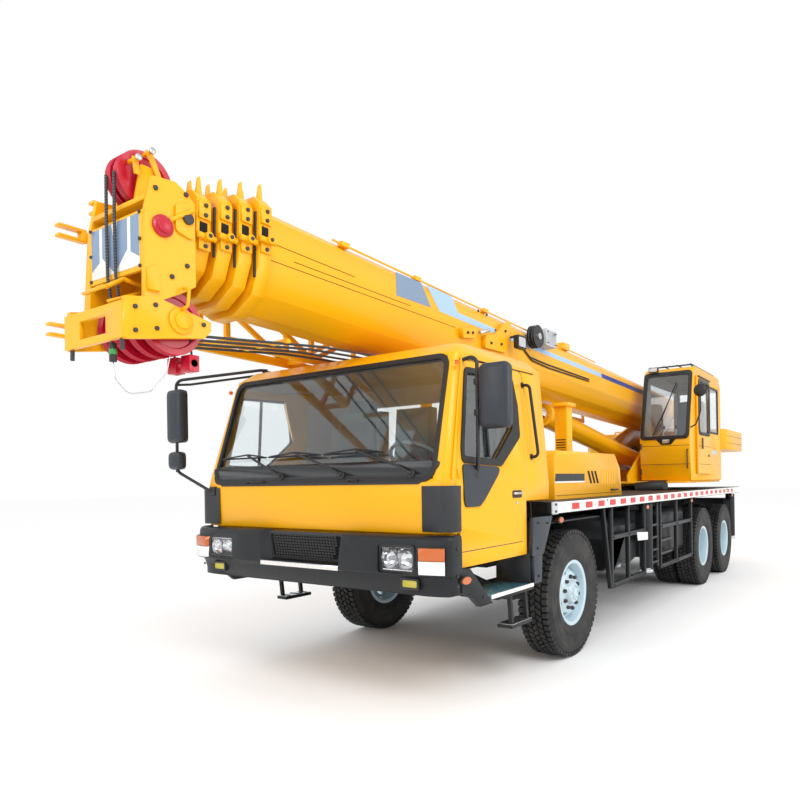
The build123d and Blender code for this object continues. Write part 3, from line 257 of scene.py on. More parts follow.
FINISHES = {
    "yellow": painted("chrome_yellow_enamel", (0.88, 0.425, 0.002), (0.85, 0.39, 0.002), (0.70, 0.42, 0.08),
                      0.34, 0.08, 0.10, 0.3),
    "dark": painted("charcoal_enamel", (0.013, 0.015, 0.018), (0.010, 0.012, 0.014), (0.07, 0.06, 0.05),
                    0.45, 0.0, 0.15, 0.3),
    "red": painted("crimson_sheave_enamel", (0.52, 0.006, 0.030), (0.42, 0.004, 0.022), (0.25, 0.05, 0.04),
                   0.3, 0.2, 0.1),
    "wheel": painted("pale_wheel_enamel", (0.50, 0.64, 0.71), (0.44, 0.58, 0.65), (0.42, 0.40, 0.36), 0.3,
                     0.4, 0.5),
    "white": film("white_enamel", (0.82, 0.80, 0.76), (0.76, 0.74, 0.70), (0.62, 0.60, 0.55)),
    "rail_red": film("signal_red_film", (0.62, 0.012, 0.014), (0.54, 0.010, 0.012), (0.5, 0.1, 0.08)),
    "slate_blue": film("slate_blue_film", (0.20, 0.29, 0.42), (0.17, 0.25, 0.37), (0.25, 0.30, 0.36)),
    "light_blue": film("light_blue_film", (0.36, 0.55, 0.80), (0.32, 0.50, 0.75), (0.42, 0.55, 0.70)),
    "dark_blue": film("dark_blue_film", (0.012, 0.055, 0.32), (0.010, 0.045, 0.27), (0.05, 0.09, 0.3)),
    "black": plastic("black_moulding", (0.010, 0.010, 0.011), 0.45),
    "gasket": plastic("black_gasket_rubber", (0.008, 0.008, 0.009), 0.6, 500),
    "trim": plastic("dark_grey_moulding", (0.013, 0.015, 0.018), 0.5),
    # near-black painted shade, laid as thin plates in slots, windows and openings
    "shadow": plastic("dull_black_lining", (0.004, 0.004, 0.004), 0.9),
    "lining": plastic("warm_grey_lining", (0.40, 0.38, 0.35), 0.85, 180),
    "dash": plastic("grey_green_dashboard", (0.20, 0.27, 0.27), 0.6),
    "seat": plastic("seat_cloth", (0.16, 0.20, 0.22), 0.9, 700, 0.6),
    "chrome": metal("lamp_chrome", (0.85, 0.86, 0.88), 0.12),
    "steel": metal("brushed_steel", (0.62, 0.64, 0.65), 0.32, (1, 12, 1)),
    "rod": metal("plated_rod", (0.82, 0.83, 0.85), 0.14, (12, 1, 1)),
    "cast": metal("dark_casting", (0.06, 0.06, 0.062), 0.6, None, 0.4),
    "glass": glazing("pale_green_glass", (0.93, 0.97, 0.98)),
    "lens_glass": glazing("lamp_cover_glass", (0.97, 0.98, 0.99)),
    "glass_black": plastic("smoked_border", (0.012, 0.014, 0.016), 0.2, 200, 0.05),
    "white_lens": lens("milky_lens", (0.80, 0.80, 0.80), 90, 0.1),
    # dark brown lines of painted shade, drawn along welds, creases, edges and panel joints
    "seam": plastic("shut_line_shadow", (0.10, 0.045, 0.004), 0.8, 200, 0.05),
    "green": plastic("green_moulding", (0.02, 0.22, 0.05), 0.4),
    "silver": painted("silver_grey_enamel", (0.52, 0.54, 0.56), (0.46, 0.48, 0.50), (0.4, 0.38, 0.34), 0.35,
                      0.2),
    "slate_trim": plastic("slate_grey_moulding", (0.014, 0.020, 0.028), 0.42, 300, 0.15),
    "amber": lens("amber_lens", (0.90, 0.17, 0.010)),
    "clear": lens("clear_lens", (0.92, 0.93, 0.94)),
    "fog": lens("yellow_lens", (0.95, 0.72, 0.05)),
    "stop": lens("red_lens", (0.60, 0.010, 0.012)),
    "tyre": rubber("tyre_rubber"),
    "rope": rope("laid_steel_rope", (0.03, 0.032, 0.035)),
    "tread": chequer("teal_tread_plate", (0.05, 0.22, 0.33)),
}

# ---------------------------------------------------------------- mesh helpers


class Build:
    """Collects closed shapes, each with a material, into one piece."""

    def __init__(self):
        self.mesh = bmesh.new()
        self.materials = []

    def index(self, finish):
        """Slot of a finish, given by its name or as a material."""
        material = FINISHES[finish] if isinstance(finish, str) else finish
        if material not in self.materials:
            self.materials.append(material)
        return self.materials.index(material)

    def skin(self, rings, finish, loop=False):
        """Surface through rings of as many points each: capped at both ends, or joined into a loop."""
        slot = self.index(finish)
        rows = [[self.mesh.verts.new(p) for p in ring] for ring in rings]
        count = len(rows[0])
        for near, far in zip(rows, rows[1:] + rows[:1] if loop else rows[1:]):
            for k in range(count):
                corners = (near[k], near[(k + 1) % count], far[(k + 1) % count], far[k])
                self.mesh.faces.new(corners).material_index = slot
        if not loop:
            for row in (rows[0][::-1], rows[-1]):
                self.mesh.faces.new(row).material_index = slot

    def prism(self, outline, along, low, high, finish):
        """Prism along a named axis; the outline gives the other two coordinates in order."""
        axis = "xyz".index(along)
        rings = []
        for station in (low, high):
            ring = []
            for u, v in outline:
                point = [u, v]
                point.insert(axis, station)
                ring.append(point)
            rings.append(ring)
        self.skin(rings, finish)

    def box(self, x, y, z, finish):
        self.prism(rectangle(x, y), "z", *z, finish)

    def turned(self, profile, origin, axis, finish, steps=32):
        """Surface of revolution from (radius, along) points about an axis through the origin."""
        axis = Vector(axis).normalized()
        side = axis.orthogonal().normalized()
        up = axis.cross(side)
        slot = self.index(finish)
        rows = []
        for radius, along in profile:
            base = Vector(origin) + axis * along
            if radius < 1e-6:
                rows.append([self.mesh.verts.new(base)] * steps)
                continue
            angles = [2 * pi * k / steps for k in range(steps)]
            rows.append([self.mesh.verts.new(base + (side * cos(a) + up * sin(a)) * radius)
                         for a in angles])
        for near, far in zip(rows, rows[1:]):
            for k in range(steps):
                onward = (k + 1) % steps
                corners = []
                for vertex in (near[k], near[onward], far[onward], far[k]):
                    if vertex not in corners:
                        corners.append(vertex)
                if len(corners) > 2:
                    self.mesh.faces.new(corners).material_index = slot

    def bar(self, start, end, radius, finish, sides=12):
        """Round bar between two points."""
        run = Vector(end) - Vector(start)
        self.turned([(0, 0), (radius, 0), (radius, run.length), (0, run.length)], start, run, finish, sides)

    def pipe(self, points, radius, finish, bend=0.03, sides=12):
        """Pipe along a route, with rounded bends."""
        self.copy(grow("pipe", route(points), Radius=radius, Bend=bend, Sides=sides, Material=finish))

    def row(self, item, count, start, step, finish):
        """Copies of another collection in a straight row."""
        self.copy(grow("row", item.plain(), Count=count, Start=start, Step=step, Material=finish))

    def bolts(self, points, direction, size=0.009, finish="cast", height=0.010):
        """Bolt heads standing on the given points."""
        for point in points:
            self.copy(moved(stud(size, height, 6, direction), point), finish)

    def copy(self, mesh, finish=None):
        """Adds another mesh, with its own materials or one finish given."""
        slots = [self.index(m) for m in ([finish] if finish else mesh.materials)]
        first = len(self.mesh.faces)
        self.mesh.from_mesh(mesh)
        self.mesh.faces.ensure_lookup_table()
        for face in self.mesh.faces[first:]:
            face.material_index = slots[min(face.material_index, len(slots) - 1)]

    def plain(self, name="part"):
        """What was collected, as one mesh with its faces turned outwards."""
        bmesh.ops.recalc_face_normals(self.mesh, faces=self.mesh.faces)
        mesh = bpy.data.meshes.new(name)
        self.mesh.to_mesh(mesh)
        self.mesh.free()
        for material in self.materials:
            mesh.materials.append(material)
        return mesh

    def piece(self, name, body, slot=None, replaces=(), bevel=0.0, segments=2, smooth=35):
        """Turns what was collected into a finished piece that rides on a body."""
        return settle(name, self.plain(name), body, replaces, bevel, segments, smooth)


def settle(name, mesh, body, replaces=(), bevel=0.0, segments=2, smooth=35):
    """Rounds a mesh's edges, shades it and sets it on its body."""
    thing = bpy.data.objects.new(name, mesh)
    bpy.context.scene.collection.objects.link(thing)
    if bevel:
        rounding = thing.modifiers.new("rounded_edges", "BEVEL")
        rounding.width = bevel
        rounding.segments = segments
        rounding.limit_method = "ANGLE"
        rounding.angle_limit = radians(28)
        rounding.harden_normals = True
        bake_modifiers(thing)
    thing.data.polygons.foreach_set("use_smooth", [True] * len(thing.data.polygons))
    thing.data.set_sharp_from_angle(angle=radians(smooth))
    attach(thing, body)
    if replaces:
        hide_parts(*replaces)
    return thing


def evaluated(thing):
    """The plain mesh that an object's modifiers make of it."""
    bpy.context.view_layer.update()
    return bpy.data.meshes.new_from_object(thing.evaluated_get(bpy.context.evaluated_depsgraph_get()))


def bake_modifiers(thing):
    """Swaps an object's data for its evaluated mesh, with no modifier left."""
    result = evaluated(thing)
    result.name = thing.name
    thing.modifiers.clear()
    thing.data = result
    return result


def body_of(node):
    return next(body for body, nodes in BODIES.items() if node in nodes)


def rounded(node, finish, bevel=0.004, segments=2):
    """The CAD node's own shape with its loose triangles joined and its edges rounded."""
    shape = bmesh.new()
    shape.from_mesh(frame["nodes"][node].data)
    bmesh.ops.remove_doubles(shape, verts=shape.verts, dist=2e-5)
    bmesh.ops.dissolve_limit(shape, angle_limit=radians(0.6), verts=shape.verts, edges=shape.edges)
    mesh = bpy.data.meshes.new(node + "_finished")
    shape.to_mesh(mesh)
    shape.free()
    mesh.materials.append(FINISHES[finish])
    return settle(node + "_finished", mesh, body_of(node), (node,), bevel, segments)


def finish_node(node, finish):
    """Gives a CAD node that stays as it is its real finish."""
    for slot in frame["nodes"][node].material_slots:
        slot.material = FINISHES[finish]


# ---------------------------------------------------------------- Geometry Nodes trees


class Tree:
    """A Geometry Nodes tree with named inputs, built node by node."""

    def __init__(self, name, inputs):
        self.group = bpy.data.node_groups.new(name, "GeometryNodeTree")
        face = self.group.interface
        face.new_socket("Geometry", in_out="INPUT", socket_type="NodeSocketGeometry")
        for label, kind in inputs:
            face.new_socket(label, in_out="INPUT", socket_type="NodeSocket" + kind)
        face.new_socket("Geometry", in_out="OUTPUT", socket_type="NodeSocketGeometry")
        self.source = self.group.nodes.new("NodeGroupInput")
        self.sink = self.group.nodes.new("NodeGroupOutput")

    def given(self, label):
        return self.source.outputs[label]

    def add(self, kind, links=None, **values):
        node = self.group.nodes.new(kind)
        for key, value in values.items():
            if hasattr(node, key):
                setattr(node, key, value)
            else:
                node.inputs[key.replace("_", " ")].default_value = value
        for socket, origin in (links or {}).items():
            self.group.links.new(origin, node.inputs[socket])
        return node

    def end(self, geometry):
        """Realize Instances and Set Material close every tree."""
        real = self.add("GeometryNodeRealizeInstances", {0: geometry})
        painted_over = self.add("GeometryNodeSetMaterial", {"Geometry": real.outputs[0],
                                                            "Material": self.given("Material")})
        self.group.links.new(painted_over.outputs[0], self.sink.inputs[0])
        return self.group


def pipe_tree():
    """Tube along a curve, with rounded bends."""
    t = Tree("tube_along_route", [("Radius", "Float"), ("Bend", "Float"), ("Sides", "Int"),
                                  ("Material", "Material")])
    bent = t.add("GeometryNodeFilletCurve", {"Curve": t.given("Geometry"), "Radius": t.given("Bend")},
                 mode="POLY", Count=5)
    bent.inputs["Limit Radius"].default_value = True
    ring = t.add("GeometryNodeCurvePrimitiveCircle", {"Resolution": t.given("Sides"),
                                                      "Radius": t.given("Radius")})
    tube = t.add("GeometryNodeCurveToMesh", {"Curve": bent.outputs[0], "Profile Curve": ring.outputs[0]})
    tube.inputs["Fill Caps"].default_value = True
    return t.end(tube.outputs[0])


def ring_tree():
    """Copies of a small shape in a ring about the Y axis through a centre."""
    t = Tree("ring_of_copies", [("Count", "Int"), ("Centre", "Vector"), ("Turn", "Float"),
                                ("Material", "Material")])
    step = t.add("ShaderNodeMath", {1: t.given("Count")}, operation="DIVIDE")
    step.inputs[0].default_value = 2 * pi
    turned = t.add("ShaderNodeMath", {0: t.add("GeometryNodeInputIndex").outputs[0], 1: step.outputs[0]},
                   operation="MULTIPLY")
    angle = t.add("ShaderNodeMath", {0: turned.outputs[0], 1: t.given("Turn")}, operation="ADD")
    points = t.add("GeometryNodeMeshLine", {"Count": t.given("Count"), "Start Location": t.given("Centre")})
    points.inputs["Offset"].default_value = (0, 0, 0)
    turn = t.add("ShaderNodeCombineXYZ", {"Y": angle.outputs[0]})
    copies = t.add("GeometryNodeInstanceOnPoints", {"Points": points.outputs[0],
                                                    "Instance": t.given("Geometry"),
                                                    "Rotation": turn.outputs[0]})
    return t.end(copies.outputs[0])


def row_tree():
    """Copies of a small shape in a straight row."""
    t = Tree("row_of_copies", [("Count", "Int"), ("Start", "Vector"), ("Step", "Vector"),
                               ("Material", "Material")])
    points = t.add("GeometryNodeMeshLine", {"Count": t.given("Count"), "Start Location": t.given("Start"),
                                            "Offset": t.given("Step")})
    copies = t.add("GeometryNodeInstanceOnPoints", {"Points": points.outputs[0],
                                                    "Instance": t.given("Geometry")})
    return t.end(copies.outputs[0])


TREES = {"pipe": pipe_tree(), "ring": ring_tree(), "row": row_tree()}


def grow(tree, data, **inputs):
    """Runs a tree on a mesh or curve and returns the plain mesh it makes."""
    inputs["Material"] = FINISHES[inputs["Material"]]
    seed = bpy.data.objects.new("seed", data)
    bpy.context.scene.collection.objects.link(seed)
    modifier = seed.modifiers.new("grow", "NODES")
    modifier.node_group = TREES[tree]
    for item in TREES[tree].interface.items_tree:
        if item.in_out == "INPUT" and item.name in inputs:
            modifier[item.identifier] = inputs[item.name]
    mesh = evaluated(seed)
    bpy.data.objects.remove(seed)
    return mesh


def route(points):
    """Curve of straight runs through the points."""
    curve = bpy.data.curves.new("route", "CURVE")
    curve.dimensions = "3D"
    spline = curve.splines.new("POLY")
    spline.points.add(len(points) - 1)
    for target, point in zip(spline.points, points):
        target.co = (*point, 1)
    return curve


def stud(size, height, sides=6, direction=(0, 1, 0)):
    """Small closed bolt head or boss, standing on the origin."""
    shape = Build()
    profile = [(0, 0), (size, 0), (size, height * 0.75), (size * 0.8, height), (0, height)]
    shape.turned(profile, (0, 0, 0), direction, "steel", sides)
    mesh = shape.plain()
    mesh.materials.clear()     # it takes its finish where it is used
    return mesh


def moved(mesh, offset):
    mesh.transform(Matrix.Translation(offset))
    return mesh


# ---------------------------------------------------------------- outlines


def softened(points, radius, steps=6):
    """Loop with every corner of an outline rounded."""
    loop = []
    for before, corner, after in zip(points[-1:] + points[:-1], points, points[1:] + points[:1]):
        corner = Vector(corner)
        back, onward = (Vector(before) - corner).normalized(), (Vector(after) - corner).normalized()
        half = back.angle(onward) / 2
        reach = min(radius / max(0.05, abs(sin(half) / cos(half))), 0.45 * (Vector(before) - corner).length,
                    0.45 * (Vector(after) - corner).length)
        start, end = corner + back * reach, corner + onward * reach
        for k in range(steps + 1):
            t = k / steps
            loop.append((start * (1 - t) ** 2 + corner * 2 * t * (1 - t) + end * t * t)[:])
    return loop


def inset(points, distance):
    """Outline moved inwards by a distance, or outwards where it is negative."""
    area = sum(a[0] * b[1] - b[0] * a[1] for a, b in zip(points, points[1:] + points[:1]))
    turn = 1 if area > 0 else -1
    moved = []
    for before, corner, after in zip(points[-1:] + points[:-1], points, points[1:] + points[:1]):
        first = (Vector(corner) - Vector(before)).normalized()
        second = (Vector(after) - Vector(corner)).normalized()
        normals = [Vector((-d.y, d.x)) * turn for d in (first, second)]
        bisector = (normals[0] + normals[1]).normalized()
        moved.append((Vector(corner) + bisector * distance / max(0.3, bisector.dot(normals[0])))[:])
    return moved


def rectangle(u, v):
    return [(u[0], v[0]), (u[1], v[0]), (u[1], v[1]), (u[0], v[1])]


def band(build, outer, inner, place, low, high, finish):
    """Flat ring between two loops on a curved or sloping face that place(u, v, out) describes."""
    rings = [[place(u, v, out) for u, v in loop]
             for loop, out in ((outer, low), (outer, high), (inner, high), (inner, low))]
    build.skin(rings, finish, loop=True)


def plate(build, outline, place, low, high, finish):
    """Flat plate of an outline on a face that place(u, v, out) describes."""
    build.skin([[place(u, v, out) for u, v in outline] for out in (low, high)], finish)


def side_place(y):
    """Place function of an upright side face, by station and height; out grows away from the middle."""
    sign = 1 if y > 0 else -1
    return lambda x, z, out=0.0: (ahead(x), y + sign * out, z)


def front_place(x):
    """Place function of an upright front face."""
    return lambda y, z, out=0.0: (ahead(x) + out, y, z)


def framed(build, outline, place, width, low, high, finish, corner=0.02):
    """Rounded frame along an outline: half of its width to each side."""
    band(build, softened(inset(outline, -width / 2), corner), softened(inset(outline, width / 2), corner),
         place, low, high, finish)


def oval(x, z, wide, high, steps):
    """Points round an oval."""
    return [(x + wide * cos(a), z + high * sin(a)) for a in (2 * pi * k / steps for k in range(steps))]


# ---------------------------------------------------------------- wheels
TREAD_PITCHES = 60
TYRE_HALF = (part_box("tyre_front_left")[1].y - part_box("tyre_front_left")[0].y) / 2


TREAD_ROWS = [                 # inner edge, outer edge, shift in pitches, slant
    (0.084, 0.128, 0.0, 0.0), (-0.128, -0.084, 0.5, 0.0),
    (0.030, 0.070, 0.5, 0.012), (-0.018, 0.018, 0.0, -0.012), (-0.070, -0.030, 0.5, 0.012),
]


def tread_blocks():
    """One pitch of the tread: a lug on each shoulder and a block on each rib between the grooves."""
    top, root = TYRE_RADIUS - 0.001, TYRE_RADIUS - 0.030
    pitch = 2 * pi / TREAD_PITCHES
    shape = Build()
    for low, high, shift, slant in TREAD_ROWS:
        rings = []
        for radius, share in ((root, 0.42), (top, 0.34)):
            ring = []
            for along, lean in ((low, -slant), (high, slant)):
                for edge in ((-1, 1) if along == low else (1, -1)):
                    angle = shift * pitch + edge * share * pitch + lean / TYRE_RADIUS
                    ring.append((radius * sin(angle), along, radius * cos(angle)))
            rings.append(ring)
        shape.skin(rings, "tyre")
    return shape.plain()


TYRE_PROFILE = [
    (0.256, 0.100), (0.262, 0.112), (0.275, 0.120), (0.30, 0.129), (0.34, 0.138), (0.345, 0.1405),
    (0.352, 0.1405),
    (0.357, 0.139), (0.39, 0.1425), (0.43, 0.1435), (0.455, 0.1415), (0.460, 0.1435), (0.466, 0.1435),
    (0.471, 0.140),
    (0.49, 0.1345), (0.503, 0.127), (0.512, 0.115), (0.517, 0.080), (0.508, 0.078), (0.508, 0.072),
    (0.518, 0.070),
    (0.520, 0.030), (0.509, 0.028), (0.509, 0.021), (0.521, 0.019),
]


def tyre(node, middles):
    """Tyres of one hub, with tread."""
    x, z = centre(node).x, centre(node).z
    bead_radius, bead = TYRE_PROFILE[0]
    profile = [(r, -w) for r, w in TYRE_PROFILE] + TYRE_PROFILE[::-1] + [(bead_radius, bead),
                                                                         (bead_radius, -bead)]
    build = Build()
    for middle in middles:
        build.turned(profile, (x, middle, z), (0, 1, 0), "tyre", 72)
        build.copy(grow("ring", tread_blocks(), Count=TREAD_PITCHES, Centre=(x, middle, z), Turn=0.0,
                        Material="tyre"))
    build.piece(node + "_moulded", body_of(node), slot="tyre", replaces=(node,), smooth=38)


RIM_FLANGE = [(0.245, 0.090), (0.250, 0.100), (0.262, 0.108), (0.279, 0.112), (0.283, 0.119),
              (0.276, 0.1235), (0.262, 0.1225), (0.249, 0.116), (0.243, 0.100)]
RIM_WEBS = {
    "single": [(0.240, 0.050), (0.232, 0.034), (0.218, 0.046), (0.190, 0.074), (0.176, 0.086),
               (0.160, 0.0925),
               (0.104, 0.0945), (0.098, 0.100), (0.096, 0.108), (0.088, 0.124), (0.080, 0.134),
               (0.050, 0.1345),
               (0.046, 0.1345), (0, 0.1345)],
    "dual": [(0.242, 0.200), (0.241, 0.120), (0.236, 0.100), (0.222, 0.092), (0.190, 0.066), (0.168, 0.034),
             (0.156, 0.029), (0.104, 0.029), (0.102, 0.036), (0.098, 0.150), (0.092, 0.160), (0.072, 0.164),
             (0.070, 0.196), (0.062, 0.205), (0, 0.205)],
}
RIM_BACKS = {
    "single": [(0, -0.058), (0.088, -0.058), (0.090, 0.074), (0.170, 0.066), (0.238, 0.016),
               (0.244, -0.095)],
    "dual": [(0, -0.118), (0.098, -0.118), (0.100, 0.010), (0.148, 0.010), (0.238, 0.078), (0.242, -0.260)],
}
NUT_FACE = {"single": 0.093, "dual": 0.029}
NUT_CIRCLE, NUTS = 0.137, 10
CAP_CIRCLE, CAP_BOLTS = 0.058, 8
HAND_HOLE = {"single": 0.203, "dual": 0.196}       # wheel middle to a hand hole's
HAND_HOLES, HAND_HOLE_RADIUS = 8, 0.029


def rim(node, kind, side, middle, shift):
    """Disc wheel with pierced web, flange, hub and nuts. Shift is from its middle to the outer tyre's."""
    heart = Vector((centre(node).x, middle, centre(node).z))
    out = Vector((0, side, 0))
    hub_face = RIM_WEBS[kind][-1][1]
    front = RIM_WEBS[kind][::-1]
    flange = [(r, w + shift) for r, w in RIM_FLANGE[::-1]]
    back_flange = [(0.254, shift + 0.100), (0.254, -shift - 0.100), (0.262, -shift - 0.108),
                   (0.281, -shift - 0.112), (0.281, -shift - 0.1225), (0.247, -shift - 0.1215)]
    disc = Build()
    disc.turned(front + flange + back_flange + RIM_BACKS[kind][::-1], heart, out, "wheel", 64)
    bmesh.ops.remove_doubles(disc.mesh, verts=disc.mesh.verts, dist=1e-6)
    cutter = Build()
    for k in range(HAND_HOLES):
        angle = 2 * pi * (k + 0.5) / HAND_HOLES
        hole = heart + Vector((HAND_HOLE[kind] * sin(angle), 0, HAND_HOLE[kind] * cos(angle)))
        cutter.bar(hole, hole + out * 0.11, HAND_HOLE_RADIUS, "wheel", 20)
    finished = Build()
    finished.copy(pierced(disc.plain(), cutter))
    nut = moved(stud(0.017, 0.026, 6, out), (0, side * NUT_FACE[kind], NUT_CIRCLE))
    cap = moved(stud(0.008, 0.010, 6, out), (0, side * (hub_face - 0.001), CAP_CIRCLE))
    finished.copy(grow("ring", nut, Count=NUTS, Centre=heart, Turn=0.1, Material="cast" if kind == "single"
                       else "wheel"))
    finished.copy(grow("ring", cap, Count=CAP_BOLTS, Centre=heart, Turn=0.0, Material="steel"))
    finished.turned([(0, 0), (0.040, 0), (0.038, 0.007), (0.028, 0.011), (0, 0.012)],
                    heart + out * (hub_face - 0.0005), out, "wheel", 32)
    finished.piece(node + "_pressed", body_of(node), slot="wheel_paint", replaces=(node,), smooth=40)


def pierced(mesh, cutter):
    """The mesh with the collected shapes cut out of it."""
    tool, thing = bpy.data.objects.new("cutter", cutter.plain()), bpy.data.objects.new("uncut", mesh)
    for item in (tool, thing):
        bpy.context.scene.collection.objects.link(item)
    cut = thing.modifiers.new("cut", "BOOLEAN")
    cut.operation = "DIFFERENCE"
    cut.solver = "EXACT"
    cut.object = tool
    result = bake_modifiers(thing)
    for item in (tool, thing):
        bpy.data.objects.remove(item)
    return result


for axle, kind in (("front", "single"), ("mid", "dual"), ("rear", "dual")):
    for side, hand in ((1, "left"), (-1, "right")):
        node = f"tyre_{axle}_{hand}"
        y = centre(node).y
        apart = (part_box(node)[1].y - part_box(node)[0].y) / 2 - TYRE_HALF
        tyre(node, (y,) if kind == "single" else (y - apart, y + apart))
        rim(f"rim_{axle}_{hand}", kind, side, y, apart)

# ---------------------------------------------------------------- painted CAD shapes with rounded edges
PAINTED = [                    # finish, slot, nodes with the width of their rounded edges
    ("yellow", "crane_paint", {"engine_hood": 0.010, "turntable": 0.005, "counterweight": 0.016,
                               "operator_door": 0.006,
                               "boom_base": 0.004, "boom_section_2": 0.003, "boom_section_3": 0.003,
                               "boom_section_4": 0.003, "boom_head": 0.005, "luff_barrel": 0.004,
                               "boom_rest": 0.006}),
    ("dark", "frame_paint", {"chassis_frame": 0.005}),
    ("trim", "frame_paint", {"deck": 0.004}),
    ("dark", "frame_paint", {"guards": 0.005, "tanks": 0.014}),
    ("cast", "dark_metal", {"axles": 0.005, "knuckle_left": 0.005, "knuckle_right": 0.005,
                            "engine_block": 0.012,
                            "winches": 0.005}),
    ("dark", "step_plate", {"cab_steps": 0.003}),
    ("yellow", "crane_paint", {"jib": 0.006}),
]
for finish, slot, widths in PAINTED:
    for node, width in widths.items():
        rounded(node, finish, width)
for place in ("front", "rear"):
    for hand in ("left", "right"):
        rounded(f"outrigger_beam_{place}_{hand}", "dark", 0.004)
        rounded(f"jack_{place}_{hand}", "steel", 0.004)
KEPT = {                       # nodes that keep their own mesh, or only lend it until a piece replaces them
    "rod": ["luff_rod"], "steel": ["cable_reel"], "dash": ["cab_interior"],
    "black": ["cab_mirrors", "operator_fittings"],
    "clear": ["lamps"], "red": ["sheaves"],
    "glass": ["cab_glass", "cab_door_glass_left", "cab_door_glass_right", "operator_glass",
              "operator_door_glass"],
}
for finish, nodes in KEPT.items():
    for node in nodes:
        finish_node(node, finish)


def cab_skin(node, bevel):
    """A cab's own shape: paint outside, lining on the faces that look at the inside."""
    heart = centre(node)
    thing = rounded(node, "yellow", bevel, segments=3)
    thing.data.materials.append(FINISHES["lining"])
    low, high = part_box(node)
    for face in thing.data.polygons:
        inward = (heart - face.center).normalized().dot(face.normal) > 0.12
        deep = all(low[k] + 0.012 < face.center[k] < high[k] - 0.012 for k in range(3))
        face.material_index = 1 if inward and deep else 0
    return thing


cab_skin("cab_shell", 0.010)
cab_skin("operator_cab", 0.010)
for hand in ("left", "right"):
    rounded(f"cab_door_{hand}", "yellow", 0.006)

# ---------------------------------------------------------------- driver's cab: trim, lamps, mirrors, seats
CAB_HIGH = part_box("cab_shell")[1]
CAB_SIDE = CAB_HIGH.y
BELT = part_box("cab_glass")[0].z - 0.030
SIDE_LEAN = 0.0814             # the cab's sides above the belt lean inwards by this share of the height
SCREEN_LEAN = 0.2907           # the same for its front
FRONT_FACE = CAB_HIGH.x
SCREEN = [(-1.085, 1.530), (1.085, 1.530), (1.050, 2.335), (-1.050, 2.335)]


def cab_front(y, z, out=0.0):
    """Point on the cab's front face: upright below the belt, sloping above it."""
    rise = max(0.0, z - BELT)
    return (FRONT_FACE - rise * SCREEN_LEAN + out * 0.96, y, z + (out * 0.28 if rise else 0))


def cab_flank(side):
    """Place function of one of the cab's side walls, by station and height."""
    def place(x, z, out=0.0):
        rise = max(0.0, z - BELT)
        return (ahead(x), side * (CAB_SIDE - rise * SIDE_LEAN + out), z)
    return place


def windscreen():
    """Gasket round the windscreen, the cowl below it and three wipers."""
    build = Build()
    band(build, softened(inset(SCREEN, -0.020), 0.10, 10), softened(inset(SCREEN, 0.014), 0.085, 10),
         cab_front, -0.020, 0.008, "gasket")
    build.piece("windscreen_gasket", "carrier", bevel=0.003)

    cowl = Build()
    outline = [(-0.985, 1.497), (0.985, 1.497), (1.118, 1.600), (1.122, 1.640), (-1.122, 1.640),
               (-1.118, 1.600)]
    plate(cowl, softened(outline, 0.05), cab_front, -0.004, 0.006, "trim")
    screen_cut = [(-1.075, 1.556), (1.075, 1.556), (1.070, 1.650), (-1.070, 1.650)]
    plate(cowl, softened(screen_cut, 0.04), cab_front, 0.005, 0.0068, "glass_black")
    for y, reach in ((-0.570, 0.090), (0.430, 0.040)):
        cowl.pipe([cab_front(y - reach, 1.520, 0.004), cab_front(y - reach, 1.524, 0.030),
                   cab_front(y + reach, 1.524, 0.030), cab_front(y + reach, 1.520, 0.004)], 0.007, "black",
                  0.015)
    cowl.piece("wiper_cowl", "carrier", bevel=0.002)

    wipers = [(-0.297, -1.027, -0.501, -0.697), (0.315, -0.477, 0.076, -0.169),
              (0.920, 0.105, 0.656, 0.423)]
    for number, (pivot, start, end, meet) in enumerate(wipers):
        build = Build()
        build.turned([(0, 0), (0.028, 0), (0.026, 0.014), (0.015, 0.020), (0.015, 0.032), (0.008, 0.038),
                      (0, 0.038)], cab_front(pivot, 1.560, 0.004), (0.96, 0, 0.28), "black", 20)
        elbow = cab_front(pivot - 0.10, 1.606, 0.050)
        build.pipe([cab_front(pivot, 1.560, 0.034), elbow, cab_front(meet, 1.722, 0.038)], 0.0095, "trim",
                   0.05)
        build.pipe([cab_front(start + 0.03, 1.712, 0.024), cab_front(meet, 1.730, 0.036),
                         cab_front(end - 0.03, 1.712, 0.024)], 0.0065, "trim", 0.10)
        ends = [[cab_front(y, z, out) for z, out in ((1.704, 0.010), (1.712, 0.010), (1.714, 0.024),
                                                     (1.704, 0.024))] for y in (start, end)]
        build.skin(ends, "gasket")
        build.piece(f"wiper_{number}", "carrier", bevel=0.0015)


# ---------------------------------------------------------------- front bumper
BUMPER_HALF, BUMPER_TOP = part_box("front_bumper")[1].yz
LEDGE = 0.935                  # crease below the headlamps
BUMPER_PLAN = [                # half width, station
    (0.0, 2.040), (0.30, 2.040), (0.62, 2.038), (0.90, 2.030), (1.02, 2.018), (1.10, 2.004), (1.17, 1.988),
    (1.222, 1.972), (1.244, 1.955), (1.250, 1.930),
]
SHEET = 0.036                  # the bumper's wall
LAMP_POCKET = ((0.725, 1.015), (0.942, 1.118))
MARKER = (1.818, 0.896)        # middle of the oval lamp on the bumper's flank


def bumper_face(y):
    """Station of the bumper's face at a distance from the middle."""
    y = abs(y)
    for (y0, x0), (y1, x1) in zip(BUMPER_PLAN, BUMPER_PLAN[1:]):
        if y <= y1:
            return x0 + (x1 - x0) * (y - y0) / (y1 - y0)
    return BUMPER_PLAN[-1][1]


